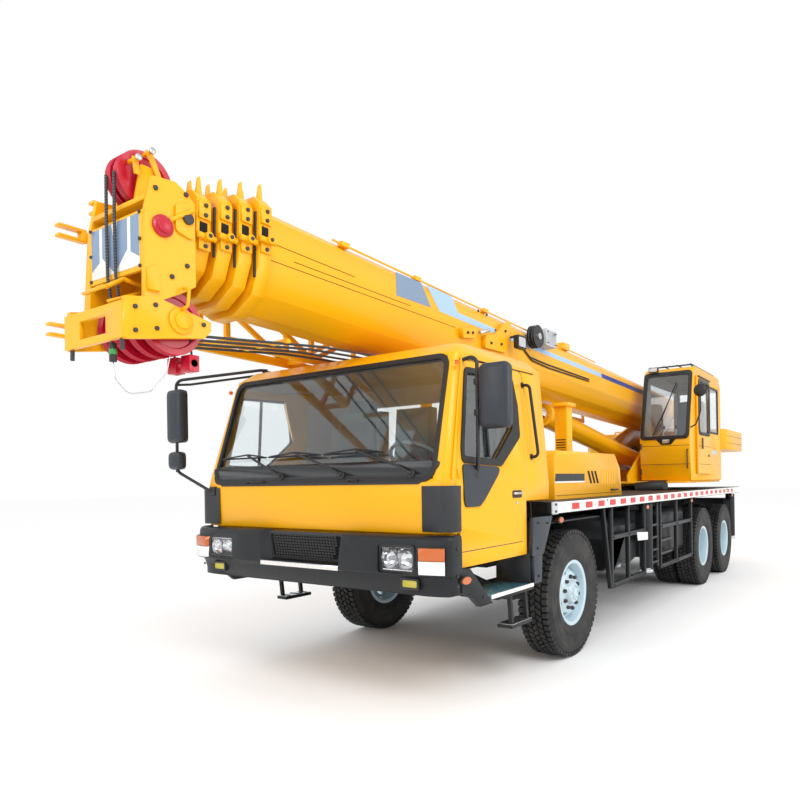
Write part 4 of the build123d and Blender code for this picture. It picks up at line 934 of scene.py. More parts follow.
def bumper():
    """Pressed bumper with a ledge, a set-back lower lip, pockets for lamps and grille, and plain flanks."""
    build = Build()
    half = BUMPER_PLAN + [(BUMPER_HALF, 1.842)]
    full = [(-y, x) for y, x in half[::-1]] + half[1:]

    def row(z, back, shrink=0.0):
        ring = []
        for y, x in full:
            ring.append((ahead(x if x < 1.85 else x - back), y - (shrink if y > 0 else -shrink if y < 0
                                                                  else 0), z))
        for y, x in full[::-1]:
            side = max(SHEET - BUMPER_HALF, min(BUMPER_HALF - SHEET, y * 0.968))
            ring.append((ahead(x if x < 1.85 else min(x - 0.045, 1.955)), side, z))
        return ring

    levels = [(0.802, 0.110, 0.030), (0.812, 0.075, 0.012), (0.905, 0.048, 0.008), (0.922, 0.040, 0.004),
              (LEDGE, 0.004, 0.0), (0.950, 0.0, 0.0), (1.150, 0.010, 0.0), (1.170, 0.020, 0.004),
              (BUMPER_TOP, 0.040, 0.010)]
    build.skin([row(*level) for level in levels], "dark")
    mesh = build.plain()
    cutter = Build()
    cutter.skin([[at(x, y * grow_out, z) for y, z in ((-0.395, 0.965), (0.395, 0.965), (0.445, 1.200),
                                                      (-0.445, 1.200))] for x, grow_out in ((1.950, 0.80),
                                                                                            (2.060, 1.03))],
                "dark")
    for side in (1, -1):
        pocket = rectangle([side * y for y in LAMP_POCKET[0]], LAMP_POCKET[1])
        cutter.prism(softened(pocket, 0.022), "x", ahead(1.950), ahead(2.080), "dark")
    done = Build()
    done.copy(pierced(mesh, cutter), "dark")
    # lower flanks in front of the wheels: the slanted side plates below the cab
    for side in (1, -1):
        y = sorted((side * (BUMPER_HALF - 0.034), side * BUMPER_HALF))
        done.prism(stations([(1.845, 0.820), (1.727, 0.770), (1.640, 0.702), (1.482, 0.702), (1.749, 0.960),
                             (1.845, 0.972)]), "y", y[0], y[1], "dark")
    done.piece("front_bumper_pressed", "carrier", slot="frame_paint", replaces=("front_bumper",),
               bevel=0.005)


def front_panel():
    """Corner deflectors, grille mesh, serrated strip and the bumper's lamps."""
    corner = Build()
    for side in (1, -1):
        plan = [(FRONT_FACE + 0.001, 1.010), (FRONT_FACE + 0.001, 1.120)]
        plan += [(FRONT_FACE - 0.078 + 0.080 * cos(a), 1.122 + 0.080 * sin(a))
                 for a in (k * pi / 12 for k in range(1, 6))]
        plan += [(FRONT_FACE - 0.078, CAB_SIDE + 0.0015), (ahead(1.822), CAB_SIDE + 0.0015)]
        rise = [0.006, 0.020, 0.028, 0.034, 0.038, 0.040, 0.042, 0.042, 0.034]
        middle = Vector((FRONT_FACE - 0.10, 1.10))
        outward = []
        for (x, y), reach in zip(plan, rise):
            away = (Vector((x, y)) - middle).normalized()
            outward.append((x + away.x * reach, side * (y + away.y * reach)))
        outer = [(x, side * y) for x, y in plan]
        corner.prism(outer + outward[::-1], "z", 1.200, 1.485, "trim")
    corner.piece("corner_deflectors", "carrier", bevel=0.010, segments=3)

    mouth = Build()
    back = 1.952
    # the back of the opening is a thin near-black plate of painted shade behind the slats
    opening = [(-0.345, 0.975), (0.345, 0.975), (0.385, 1.165), (-0.385, 1.165)]
    mouth.prism(opening, "x", ahead(back), ahead(back + 0.003), "shadow")
    for number in range(9):
        z = 0.990 + number * 0.0195
        reach = 0.300 + (z - 0.975) * 0.20
        slat = Build()
        slat.prism([(-0.012, -0.007), (0.012, -0.007), (0.009, 0.007), (-0.009, 0.007)], "x", 0, 0.014,
                   "black")
        mouth.row(slat, int(2 * reach / 0.028), at(back + 0.006, -reach + 0.014, z),
                        (0, 0.028, 0), "black")
        mouth.box((ahead(back + 0.002), ahead(back + 0.012)), (-reach, reach), (z + 0.0085, z + 0.0125),
                  "black")
    framed(mouth, [(-0.330, 0.980), (0.330, 0.980), (0.370, 1.160), (-0.370, 1.160)], front_place(back),
           0.020, 0.0, 0.020, "trim", 0.02)
    mouth.piece("grille_mesh", "carrier", bevel=0.0015)

    strip, tooth = Build(), Build()
    tooth.prism([(-0.0075, -0.012), (0.0075, -0.012), (0.004, 0.010), (-0.004, 0.010)], "x", 0, 0.010,
                "white")
    face = bumper_face(0.2)
    strip.row(tooth, 37, at(face - 0.002, -0.371, 0.945), (0, 0.0206, 0),
                    "white")
    strip.box((ahead(face - 0.020), ahead(face + 0.002)), (-0.388, 0.388), (0.929, 0.960), "chrome")
    strip.piece("serrated_strip", "carrier", bevel=0.001)

    reach = 0.062
    bowl = [(reach, 0.046), (reach * 0.92, 0.026), (reach * 0.62, 0.008), (0.016, 0.003), (0, 0.003),
            (0, -0.001), (reach * 1.04, 0.004), (reach * 1.06, 0.046)]
    for side, hand in ((1, "left"), (-1, "right")):
        lamp = Build()
        outline = rectangle((side * 0.735, side * 1.005), (0.948, 1.112))
        place = front_place(1.960)
        framed(lamp, outline, place, 0.016, -0.006, 0.058, "black", 0.024)
        plate(lamp, softened(outline, 0.020), place, -0.004, 0.002, "chrome")
        for middle in (0.805, 0.935):
            lamp.turned(bowl, place(side * middle, 1.030), (1, 0, 0), "chrome", 28)
            lamp.turned([(0, 0.002), (0.016, 0.006), (0.014, 0.026), (0, 0.032)],
                        place(side * middle, 1.030), (1, 0, 0), "clear", 16)
        for z in (0.962, 1.098):
            lamp.box(*spread(place(side * 0.87, z, 0.026), (0.020, 0.118, 0.003)), "chrome")
        plate(lamp, softened(inset(outline, 0.010), 0.016), place, 0.050, 0.054, "lens_glass")
        lamp.piece(f"headlamp_{hand}", "carrier", slot="lens", bevel=0.0012)

    signal = Build()
    for side in (1, -1):
        # corner lamp: amber over white, wrapped round the bumper's corner
        path = [(bumper_face(y), y) for y in (1.042, 1.090, 1.130, 1.170, 1.200, 1.212)]
        for low, high, glass, proud in ((1.030, 1.108, "amber", 0.026), (0.946, 1.027, "white_lens", 0.026),
                                        (0.938, 1.114, "black", 0.014)):
            outer = [at(x + proud * 0.8, side * (y + proud * 0.5), 0)[:2] for x, y in path]
            inner = [at(x - 0.030, side * (y - 0.030), 0)[:2] for x, y in path]
            signal.prism(outer + inner[::-1], "z", low, high, glass)
        fog = rectangle((side * 0.880, side * 1.010), (0.846, 0.904))
        place = front_place(bumper_face(0.95) - 0.060)
        framed(signal, fog, place, 0.014, -0.020, 0.022, "black", 0.012)
        plate(signal, softened(inset(fog, 0.004), 0.010), place, -0.016, 0.018, "fog")
        # oval marker and bolts on the flank of the bumper
        flank = side_place(side * BUMPER_HALF)
        plate(signal, oval(*MARKER, 0.058, 0.030, 24), flank, -0.004, 0.010, "black")
        plate(signal, oval(*MARKER, 0.058 * 0.84, 0.030 * 0.78, 24), flank, 0.008, 0.018, "amber")
        signal.bolts([flank(*spot) for spot in ((1.60, 0.76), (1.90, 0.93), (1.90, 0.87), (1.90, 1.10))],
                     (0, side, 0))
    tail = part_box("lamps")[0].x
    for side in (1, -1):
        for middle, glass in ((0.670, "stop"), (0.770, "stop"), (0.900, "amber"), (1.000, "white_lens")):
            y = side * middle
            signal.box(*spread((tail + 0.020, y, 1.290), (0.020, 0.048, 0.043)), "black")
            signal.prism(softened(rectangle((y - 0.042, y + 0.042), (1.253, 1.327)), 0.010), "x",
                         tail - 0.012, tail + 0.004, glass)
    signal.piece("signal_lamps", "carrier", slot="lens", replaces=("lamps",), bevel=0.002)


# ---------------------------------------------------------------- doors and sides of the cab
GASKET_OUTER = [(0.990, 2.275), (0.940, 2.060), (0.945, 1.830), (1.250, 1.612), (1.745, 1.628),
                (1.745, 1.720), (1.625, 2.262)]
GASKET_INNER = [(1.110, 2.235), (1.075, 2.060), (1.045, 1.890), (1.318, 1.662), (1.715, 1.672),
                (1.705, 1.740), (1.600, 2.225)]
DOOR_WEDGE = [(1.250, 1.606), (1.500, 1.384), (1.560, 1.345), (1.730, 1.345), (1.745, 1.400),
              (1.745, 1.622)]


def door_trim(side, hand):
    """Window gasket, dark wedge, divider, lock, repeater and hinges of a cab door."""
    place = cab_flank(side)
    build = Build()
    outer = softened(GASKET_OUTER, 0.06)
    inner = softened(GASKET_INNER, 0.05)
    band(build, outer, inner, place, -0.010, 0.010, "gasket")
    plate(build, softened(DOOR_WEDGE, 0.035), place, -0.003, 0.011, "slate_trim")
    # two-part sliding pane: upright divider
    build.skin([[place(x, z, out) for x, out in ((1.385, -0.014), (1.405, -0.014), (1.405, 0.004),
                                                 (1.385, 0.004))] for z in (1.672, 2.226)], "gasket")
    # lock with its pull handle
    cup = rectangle((0.970, 1.110), (1.385, 1.440))
    plate(build, softened(cup, 0.020), place, -0.002, 0.004, "black")
    build.pipe([place(0.985, 1.418, 0.002), place(0.990, 1.418, 0.020),
                     place(1.090, 1.418, 0.020), place(1.095, 1.418, 0.002)], 0.009, "steel", 0.012)
    build.turned([(0, 0), (0.012, 0), (0.012, 0.006), (0.004, 0.007), (0, 0.005)], place(1.045, 1.350, 0.0),
                 (0, side, 0), "steel", 16)
    # small side repeater and hinges at the front edge
    plate(build, softened(rectangle((1.690, 1.722), (2.262, 2.292)), 0.008), place, -0.002, 0.010, "amber")
    for z in (1.200, 1.560):
        build.bar(place(1.792, z - 0.030, 0.004), place(1.792, z + 0.030, 0.004), 0.010, "yellow")
    build.piece(f"door_trim_{hand}", f"cab_door_{hand}", bevel=0.002)


def cab_sides():
    """Grab rails, gutters and shut lines round the doors, and the mudguard brackets."""
    rails = Build()
    for side in (1, -1):
        place = cab_flank(side)
        rails.pipe([place(0.780, 1.687, 0.0), place(0.780, 1.687, 0.062), place(0.830, 2.226, 0.062),
                         place(0.830, 2.226, 0.0)], 0.012, "black", 0.035)
        for x, z in ((0.780, 1.687), (0.830, 2.226)):
            rails.turned([(0, 0), (0.026, 0), (0.022, 0.010), (0, 0.012)], place(x, z, -0.003),
                         (0, side, 0), "black", 20)
        gutter = [place(0.626, 2.344, 0.002), place(1.640, 2.330, 0.002), place(1.866, 1.530, 0.004)]
        rails.pipe(gutter, 0.008, "yellow", 0.04, 8)
        rails.pipe([place(0.640, 2.334, 0.002), place(1.628, 2.320, 0.002)], 0.004, "gasket", 0.04, 8)
        # shut line round the door: a sunk black line, partly seal rubber and partly painted shade in the
        # gap
        seam = [(1.806, 1.075), (1.806, 1.740), (1.646, 2.318), (0.840, 2.330), (0.806, 2.200),
                (0.806, 1.075)]
        rails.pipe([place(x, z, -0.0015) for x, z in seam], 0.0035, "gasket", 0.05, 6)
    rails.piece("cab_grab_rails", "carrier")

    brackets = Build()
    for side in (1, -1):
        for outline in ([(0.868, 1.232), (0.548, 1.232), (0.712, 0.948), (0.900, 0.948)],
                        [(0.868, 0.948), (0.735, 0.948), (0.750, 0.740), (0.868, 0.740)]):
            brackets.prism(stations(outline), "y", *sorted((side * 1.206, side * 1.244)), "slate_trim")
        brackets.bolts([at(x, side * 1.244, z) for x, z in ((0.800, 1.190), (0.640, 1.180), (0.810, 1.000),
                                                            (0.800, 0.790))], (0, side, 0))
    brackets.piece("mudguard_brackets", "carrier", bevel=0.006)


def mirror_box(build, x, y, z):
    """Rounded mirror housing with the glass at its back."""
    loops = []
    for out, trim_in in ((x[1], 0.030), (x[1] - 0.012, 0.008), (x[1] - 0.035, 0.0), (x[0], 0.004)):
        outline = rectangle((y[0] + trim_in, y[1] - trim_in), (z[0] + trim_in, z[1] - trim_in))
        loops.append([(ahead(out), v, w) for v, w in softened(outline, 0.045)])
    build.skin(loops, "slate_trim")
    glass = softened(rectangle((y[0] + 0.012, y[1] - 0.012), (z[0] + 0.015, z[1] - 0.015)), 0.040)
    build.prism(glass, "x", ahead(x[0] - 0.004), ahead(x[0] + 0.002), "chrome")


def mirrors():
    """Driver's mirror on a post at the door; the other on tubes from the roof and the lower corner."""
    left = Build()
    left.pipe([at(1.640, 1.130, 2.300), at(1.640, 1.250, 2.320), at(1.640, 1.250, 1.740),
               at(1.610, 1.230, 1.640), at(1.577, 1.200, 1.576)], 0.013, "black", 0.05)
    left.turned([(0, 0), (0.050, 0), (0.050, 0.012), (0.030, 0.024), (0, 0.026)], at(1.577, 1.184, 1.560),
                (0, 1, 0), "black", 24)
    mirror_box(left, (1.600, 1.680), (1.270, 1.490), (1.840, 2.260))
    for z in (1.95, 2.15):
        left.turned([(0, -0.020), (0.024, -0.020), (0.024, 0.020), (0, 0.020)], at(1.640, 1.250, z),
                    (0, 0, 1), "black", 16)
        left.bar(at(1.640, 1.250, z), at(1.640, 1.290, z), 0.014, "black")
    left.piece("mirror_left", "cab_door_left", bevel=0.003)

    right = Build()
    x = 2.005
    right.pipe([at(x, -1.450, 1.620), at(x, -1.450, 2.375), at(1.520, -0.990, 2.476),
                at(1.470, -0.960, 2.476)], 0.0125, "black", 0.06)
    right.pipe([at(x, -1.450, 1.800), at(x, -1.450, 1.625), at(1.950, -1.095, 1.462),
                at(1.918, -1.080, 1.462)], 0.0125, "black", 0.06)
    right.pipe([at(x, -1.450, 2.340), at(x - 0.10, -1.400, 2.350), at(1.330, -0.900, 2.478),
                at(1.300, -0.880, 2.478)], 0.0100, "black", 0.05)
    mirror_box(right, (1.965, 2.045), (-1.550, -1.350), (1.860, 2.300))
    mirror_box(right, (1.975, 2.045), (-1.540, -1.370), (1.640, 1.790))
    right.box(*spread(at(1.470, -0.960, CAB_HIGH.z + 0.010), (0.030, 0.030, 0.018)), "black")
    right.box(*spread(at(1.300, -0.880, CAB_HIGH.z + 0.010), (0.030, 0.030, 0.018)), "black")
    right.box(*spread((FRONT_FACE + 0.010, -1.080, 1.462), (0.012, 0.030, 0.034)), "black")
    right.piece("mirror_right", "carrier", replaces=("cab_mirrors",), bevel=0.003)


def seats():
    """Cushions, backs and headrests on their stems inside the driver's cab."""
    build = Build()
    for y in (0.62, -0.62):
        cushion = softened(rectangle((0.700, 1.160), (-0.240, 0.240)), 0.05)
        build.skin([[at(x, y + w * k, z) for x, w in cushion] for z, k in ((1.455, 1.0), (1.525, 1.0),
                                                                           (1.555, 0.92))], "seat")
        back = softened([(-0.245, 1.540), (0.245, 1.540), (0.215, 2.060), (-0.215, 2.060)], 0.06)
        build.skin([[at(x - (z - 1.54) * 0.12, y + v * k, z) for v, z in back] for x, k in
                    ((0.640, 0.97), (0.665, 1.0), (0.770, 1.0), (0.800, 0.93))], "seat")
        rest = softened([(-0.140, 2.090), (0.140, 2.090), (0.125, 2.260), (-0.125, 2.260)], 0.05)
        build.skin([[at(x, y + v, z) for v, z in rest] for x in (0.600, 0.700)], "seat")
        for stem in (y - 0.06, y + 0.06):
            build.bar(at(0.650, stem, 2.04), at(0.650, stem, 2.12), 0.008, "steel")
    build.piece("cab_seats", "carrier", bevel=0.006)


# ---------------------------------------------------------------- boom, collars and head
BOOM_HALF, BOOM_UP, BOOM_DOWN = 0.300, 0.165, 0.445
FOOT_X, FOOT_Z, SLOPE = -6.950, 2.700, radians(2.0)
SECTION_STEP, COLLAR_LENGTH, COLLAR_LIP = 0.027, 0.090, 0.042
COLLAR_FRONTS = [9.56 + 0.12 * k for k in range(4)]      # distance from the foot pin


def on_boom(along, up, y=0.0):
    """Point along and above the line of the boom."""
    return at(FOOT_X + along * cos(SLOPE) - up * sin(SLOPE), y, FOOT_Z + along * sin(SLOPE) + up *
              cos(SLOPE))


def boom_markings():
    """Colour blocks and long stripe on both sides of the boom, its weld lines drawn in painted shade, and
    the conduit on top.
    """
    build = Build()
    blocks = [
        ([(1.276, 3.126), (0.955, 3.122), (0.824, 2.949), (1.276, 2.947)], "slate_blue"),
        ([(0.884, 3.120), (0.524, 3.112), (0.425, 2.991), (-0.222, 2.968), (-0.222, 2.916), (0.701, 2.944)],
         "light_blue"),
        ([(-0.210, 2.968), (-0.470, 2.962), (-0.480, 2.910), (-0.210, 2.916)], "dark_blue"),
        ([(-0.490, 2.956), (-2.925, 2.893), (-2.950, 2.838), (-0.500, 2.908)], "light_blue"),
        ([(-2.940, 2.893), (-5.250, 2.836), (-5.230, 2.770), (-2.960, 2.838)], "dark_blue"),
    ]
    for side in (1, -1):
        place = side_place(side * BOOM_HALF)
        for outline, colour in blocks:
            plate(build, outline, place, -0.001, 0.0016, colour)
        # weld lines drawn as thin dark brown lines of painted shade
        for line in ([(2.45, 2.992), (1.74, 2.972)], [(2.50, 2.885), (0.47, 2.852)],
                     [(2.30, 2.925), (1.10, 2.905)]):
            build.pipe([place(x, z, 0.0) for x, z in line], 0.0026, "seam", 0.01, 6)
    build.pipe([on_boom(4.2, 0.168, 0.285), on_boom(8.9, 0.168, 0.285)], 0.008, "yellow", 0.01, 8)
    for along in (5.6, 6.9, 7.95, 8.78):
        build.box(*spread(on_boom(along, 0.172, 0.275), (0.040, 0.022, 0.016)), "yellow")
    build.bolts([on_boom(a, 0.13, BOOM_HALF) for a in (6.9, 7.05)], (0, 1, 0), 0.014, "cast")
    build.piece("boom_markings", "boom")


def collar_details():
    """Each section's collar: pointed fins on top, bolt boxes with a painted shade plate in each window,
    rope lugs and dark guide pads.
    """
    bodies = ["boom", "boom_section_2", "boom_section_3", "boom_section_4"]
    for k, (front, body) in enumerate(zip(COLLAR_FRONTS, bodies)):
        grown = COLLAR_LIP - k * SECTION_STEP
        half, up, low = BOOM_HALF + grown, BOOM_UP + grown, -BOOM_DOWN - grown
        rear = front - COLLAR_LENGTH
        build = Build()
        for side in (1, -1):
            for y in (0.10, half - 0.075):
                fin = [(rear + 0.012, up - 0.002), (rear + 0.052, up - 0.002), (rear + 0.040, up + 0.090),
                       (rear + 0.026, up + 0.106)]
                build.skin([[on_boom(a, u, side * (y + w)) for a, u in fin] for w in (-0.008, 0.008)],
                           "yellow")
            # boxed edge with two bolt rows and a window, its opening a near-black plate of painted shade
            for u0, u1 in ((up - 0.170, up - 0.075), (up - 0.345, up - 0.250)):
                build.skin([[on_boom(a, u, side * (half + w)) for a,
                             u in rectangle((rear + 0.010, front - 0.006), (u0, u1))]
                            for w in (-0.002, 0.016)], "yellow")
            window = rectangle((rear + 0.022, front - 0.018), (up - 0.242, up - 0.185))
            build.skin([[on_boom(a, u, side * (half + w)) for a, u in window] for w in (-0.001, 0.002)],
                       "shadow")
            rows = (up - 0.095, up - 0.150, up - 0.270, up - 0.325)
            build.bolts([on_boom(front - 0.045, u, side * (half + 0.016)) for u in rows], (0, side, 0),
                        0.013, "cast", 0.012)
            # lug with pin for the section ropes
            lug = up - 0.275
            build.bar(on_boom(rear - 0.010, lug, side * (half + 0.030)),
                      on_boom(front + 0.018, lug, side * (half + 0.030)), 0.017, "yellow")
            build.bar(on_boom(rear + 0.045, lug, side * half), on_boom(rear + 0.045, lug,
                                                                       side * (half + 0.062)), 0.024,
                      "yellow", 16)
            build.bolts([on_boom(rear + 0.045, lug, side * (half + 0.062))], (0, side, 0), 0.012, "cast")
            pad = rectangle((front - 0.002, front + 0.010), (low + 0.20, up - 0.10))
            build.skin([[on_boom(a, u, side * (half - 0.040 + w)) for a, u in pad] for w in (0, 0.016)],
                       "cast")
        build.piece(f"collar_details_{k + 1}", body, bevel=0.002)


def head_details():
    """Boom head: grooved sheaves, rope guards, hoist line, front plate, pins and the overhoist switch."""
    wheels = Build()
    for x, z, radius, middles in ((3.140, 3.190, 0.158, (-0.040, 0.040)),
                                  (3.093, 2.395, 0.175, (-0.200, -0.070, 0.070, 0.200))):
        reach = 0.080 if z > 3 else 0.255
        wheels.bar(at(x, -reach, z), at(x, reach, z), 0.034, "cast", 20)
        for y in middles:
            profile = [(0.036, -0.022), (0.062, -0.024), (0.066, -0.014), (radius - 0.040, -0.012),
                       (radius - 0.034, -0.022), (radius - 0.002, -0.0255), (radius, -0.022),
                       (radius - 0.022, -0.006), (radius - 0.024, 0.0), (radius - 0.022, 0.006),
                       (radius, 0.022), (radius - 0.002, 0.0255), (radius - 0.034, 0.022),
                       (radius - 0.040, 0.012), (0.066, 0.014), (0.062, 0.024), (0.036, 0.022)]
            wheels.turned(profile, at(x, y, z), (0, 1, 0), "red", 40)
            wheels.turned([(0.034, -0.026), (0.050, -0.026), (0.050, 0.026), (0.034, 0.026)], at(x, y, z),
                          (0, 1, 0), "cast", 24)
    wheels.piece("grooved_sheaves", body_of("sheaves"), replaces=("sheaves",), smooth=30)

    build = Build()
    body = body_of("boom_head")
    # marked front plate
    face = front_place(3.283)
    plate(build, rectangle((-0.235, 0.235), (2.655, 2.925)), face, -0.001, 0.002, "white")
    half = [(0.030, 2.925), (0.125, 2.925), (0.125, 2.760), (0.0, 2.655), (0.0, 2.790)]
    for side in (1, -1):
        plate(build, [(side * y, z) for y, z in half], face, 0.001, 0.0035, "slate_blue")
        corner = [(0.155, 2.925), (0.235, 2.925), (0.235, 2.700), (0.155, 2.740)]
        plate(build, [(side * y, z) for y, z in corner], face, 0.001, 0.0035, "slate_blue")
    build.bolts([face(side * 0.242, z, 0.0) for side in (1, -1) for z in (2.650, 2.790, 2.930)], (1, 0, 0),
                0.010)
    # rope guard above the upper sheaves
    for side in (1, -1):
        build.skin([[at(x, side * (0.108 + w), z) for x, z in ((3.070, 3.185), (3.105, 3.185),
                                                               (3.170, 3.332), (3.135, 3.332))]
                    for w in (0.0, 0.012)], "yellow")
        build.skin([[at(x, side * (0.108 + w), z) for x, z in ((3.205, 3.180), (3.235, 3.180),
                                                               (3.245, 3.270), (3.215, 3.270))]
                    for w in (0.0, 0.012)], "yellow")
    for x, z in ((3.152, 3.322), (3.230, 3.258)):
        build.bar(at(x, -0.150, z), at(x, 0.150, z), 0.011, "yellow")
        for y in (-0.150, 0.150):
            build.bar(at(x, y - 0.006, z), at(x, y + 0.006, z), 0.018, "steel")
    # cheek details: pin boss, rounded bracket with lever, small ears
    for side in (1, -1):
        cheek = side_place(side * 0.290)
        build.turned([(0, 0), (0.058, 0), (0.058, 0.014), (0.040, 0.020), (0.040, 0.034), (0, 0.036)],
                     cheek(3.190, 2.872), (0, side, 0), "red" if side > 0 else "yellow", 24)
        bracket = softened([(3.010, 2.840), (3.120, 2.870), (3.120, 3.010), (3.010, 3.050)], 0.03)
        plate(build, bracket, cheek, -0.002, 0.014, "yellow")
        build.bar(cheek(3.152, 2.914, 0.006), cheek(3.020, 3.004, 0.030), 0.012, "yellow")
        build.turned([(0, 0), (0.030, 0), (0.030, 0.016), (0, 0.018)], cheek(3.050, 2.950, 0.014),
                     (0, side, 0), "cast", 20)
        for x, z in ((3.235, 2.560), (3.140, 2.620), (3.050, 2.700), (3.225, 3.060), (3.050, 3.085)):
            build.bolts([cheek(x, z)], (0, side, 0), 0.014, "cast", 0.012)
        ear = [(3.215, 2.520), (3.280, 2.520), (3.280, 2.630), (3.240, 2.650)]
        plate(build, ear, cheek, -0.002, 0.024, "yellow")
        # lower nose: boss on the sheave axle, edge strips and the pin row
        build.turned([(0, 0), (0.070, 0), (0.070, 0.012), (0.045, 0.018), (0.045, 0.030), (0, 0.032)],
                     cheek(3.093, 2.395), (0, side, 0), "yellow", 24)
        for x, z in ((3.345, 2.300), (3.345, 2.420), (3.230, 2.330), (3.235, 2.450), (2.955, 2.400)):
            build.bolts([cheek(x, z)], (0, side, 0), 0.013, "cast", 0.012)
    for start, end, radius in (((3.390, 0.100, 2.540), (3.294, 0.100, 2.604), 0.012),
                               ((3.294, 0.100, 2.604), (3.200, 0.100, 2.593), 0.012),
                               ((3.379, 0.100, 2.468), (3.190, 0.100, 2.557), 0.010),
                               ((3.390, -0.100, 2.540), (3.294, -0.100, 2.604), 0.012),
                               ((3.394, 0.120, 2.541), (3.394, -0.120, 2.541), 0.009)):
        build.bar(at(*start), at(*end), radius, "yellow")
    for y in (0.250, -0.250):
        build.bar(at(3.385, y, 2.440), at(3.390, y, 2.200), 0.011, "cast")
    build.pipe([at(3.085, 0.305, 2.569), at(3.075, 0.345, 2.560), at(3.085, 0.345, 2.465),
                at(3.095, 0.305, 2.454)], 0.009, "yellow", 0.02)
    build.piece("head_fittings", body, bevel=0.002)

    lines = Build()
    for y in (0.030, -0.050):
        points = [(3.298, 3.190), (3.300, 2.950), (3.298, 2.640), (3.278, 2.480)]
        lines.pipe([at(x, y, z) for x, z in points], 0.0085, "rope", 0.05)
    # overhoist switch on its small chain, and the limit weight
    lines.bar(at(3.384, 0.150, 2.246), at(3.384, 0.150, 2.150), 0.018, "black", 16)
    lines.bar(at(3.384, 0.150, 2.214), at(3.384, 0.150, 2.186), 0.0195, "green", 16)
    lines.pipe([at(3.384, 0.150, 2.152), at(3.380, 0.160, 2.060), at(3.330, 0.190, 1.985),
                at(3.220, 0.210, 2.010), at(3.130, 0.215, 2.120), at(3.110, 0.215, 2.215)], 0.0035, "steel",
               0.05, 6)
    for y in (0.200, 0.070):
        lines.box(*spread(at(2.980, y, 2.190), (0.030, 0.040, 0.045)), "red")
    lines.bar(at(2.980, 0.240, 2.190), at(2.980, 0.030, 2.190), 0.022, "red", 16)
    for y in (0.215, 0.055):
        lines.bar(at(2.980, y, 2.225), at(2.985, y, 2.340), 0.006, "rope")
    lines.piece("head_lines", body, bevel=0.001)


def boom_fittings():
    """Cable reel, silver junction box, lamp and brackets on the boom; ropes and hoses under it."""
    build = Build()
    low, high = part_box("cable_reel")
    x, z = (low.x + high.x) / 2, (low.z + high.z) / 2
    build.turned([(0, BOOM_HALF), (0.050, BOOM_HALF), (0.050, 0.336), (0, 0.336)], (x, 0, z), (0, 1, 0),
                 "steel", 24)
    for y in (0.340, 0.378, 0.416):
        build.turned([(0.020, y), (0.118, y), (0.118, y + 0.006), (0.020, y + 0.006)], (x, 0, z), (0, 1, 0),
                     "black", 36)
    build.turned([(0.020, 0.346), (0.086, 0.346), (0.086, 0.416), (0.020, 0.416)], (x, 0, z), (0, 1, 0),
                 "rope", 36)
    for radius in (0.100, 0.108):
        for y in (0.355, 0.395):
            build.turned([(radius - 0.007, y), (radius, y - 0.007), (radius + 0.007, y),
                          (radius, y + 0.007)], (x, 0, z), (0, 1, 0), "rope", 32)
    build.turned([(0, 0.420), (0.036, 0.420), (0.034, 0.438), (0, 0.442)], (x, 0, z), (0, 1, 0), "steel",
                 24)
    build.piece("cable_reel_wound", "boom", replaces=("cable_reel",), smooth=30)

    box = Build()
    box.box((ahead(-1.290), ahead(-1.040)), (0.302, 0.440), (2.935, 3.110), "silver")
    box.box((ahead(-1.270), ahead(-1.060)), (0.436, 0.444), (2.955, 3.090), "steel")
    box.bolts([at(x, 0.443, z) for x in (-1.262, -1.068) for z in (2.962, 3.083)], (0, 1, 0), 0.008)
    # lamp in a black hood on its fork
    box.prism(softened(rectangle((ahead(-0.565), ahead(-0.395)), (2.800, 2.930)), 0.02), "y", 0.400, 0.450,
              "black")
    box.prism(softened(rectangle((ahead(-0.548), ahead(-0.412)), (2.816, 2.914)), 0.015), "y", 0.448, 0.455,
              "lens_glass")
    box.prism(softened(rectangle((ahead(-0.545), ahead(-0.415)), (2.818, 2.912)), 0.015), "y", 0.449,
              0.4515, "chrome")
    box.bar(at(-0.480, 0.300, 2.930), at(-0.480, 0.410, 2.930), 0.012, "cast")
    # yellow bracket plates ahead of the reel
    for outline in ([(0.420, 2.850), (0.190, 2.890), (0.205, 2.800), (0.405, 2.768)],
                    [(0.030, 2.860), (-0.160, 2.905), (-0.340, 3.045), (-0.440, 3.075), (-0.440, 2.940),
                     (-0.330, 2.750), (0.040, 2.742)]):
        box.prism(stations(outline), "y", 0.301, 0.345, "yellow")
    for x, z in ((0.340, 2.825), (0.260, 2.838), (-0.060, 2.800), (-0.250, 2.820), (-0.330, 2.960)):
        box.bolts([at(x, 0.345, z)], (0, 1, 0), 0.014, "cast", 0.014)
    box.bar(at(0.15, 0.350, 2.86), at(0.02, 0.375, 2.90), 0.018, "steel")
    box.box((ahead(-1.97), ahead(-1.80)), (0.200, 0.290), (3.035, 3.110), "yellow")
    for run in ([(-0.70, 2.900), (-0.90, 2.800), (-1.30, 2.780), (-2.50, 2.760)],
                [(-0.72, 2.880), (-0.95, 2.770), (-1.35, 2.745), (-2.50, 2.735)]):
        box.pipe([at(x, 0.312, z) for x, z in run], 0.008, "black", 0.10, 8)
    box.piece("boom_fittings", "boom", bevel=0.003)

    ropes = Build()
    for y in (-0.200, -0.070, 0.070, 0.200):
        ropes.pipe([at(2.93, y, 2.355), at(1.95, y, 2.452), at(0.90, y, 2.490)], 0.0085, "rope", 0.05, 8)
    for x in (2.30, 1.40):
        ropes.box(*spread(at(x, 0, 2.430 + 0.03 * (2.3 - x)), (0.015, 0.240, 0.012)), "yellow")
    ropes.piece("under_boom_ropes", "boom")


# ---------------------------------------------------------------- hood, deck and side guards
HOOD_HALF = 1.060
DECK_EDGE = 1.250


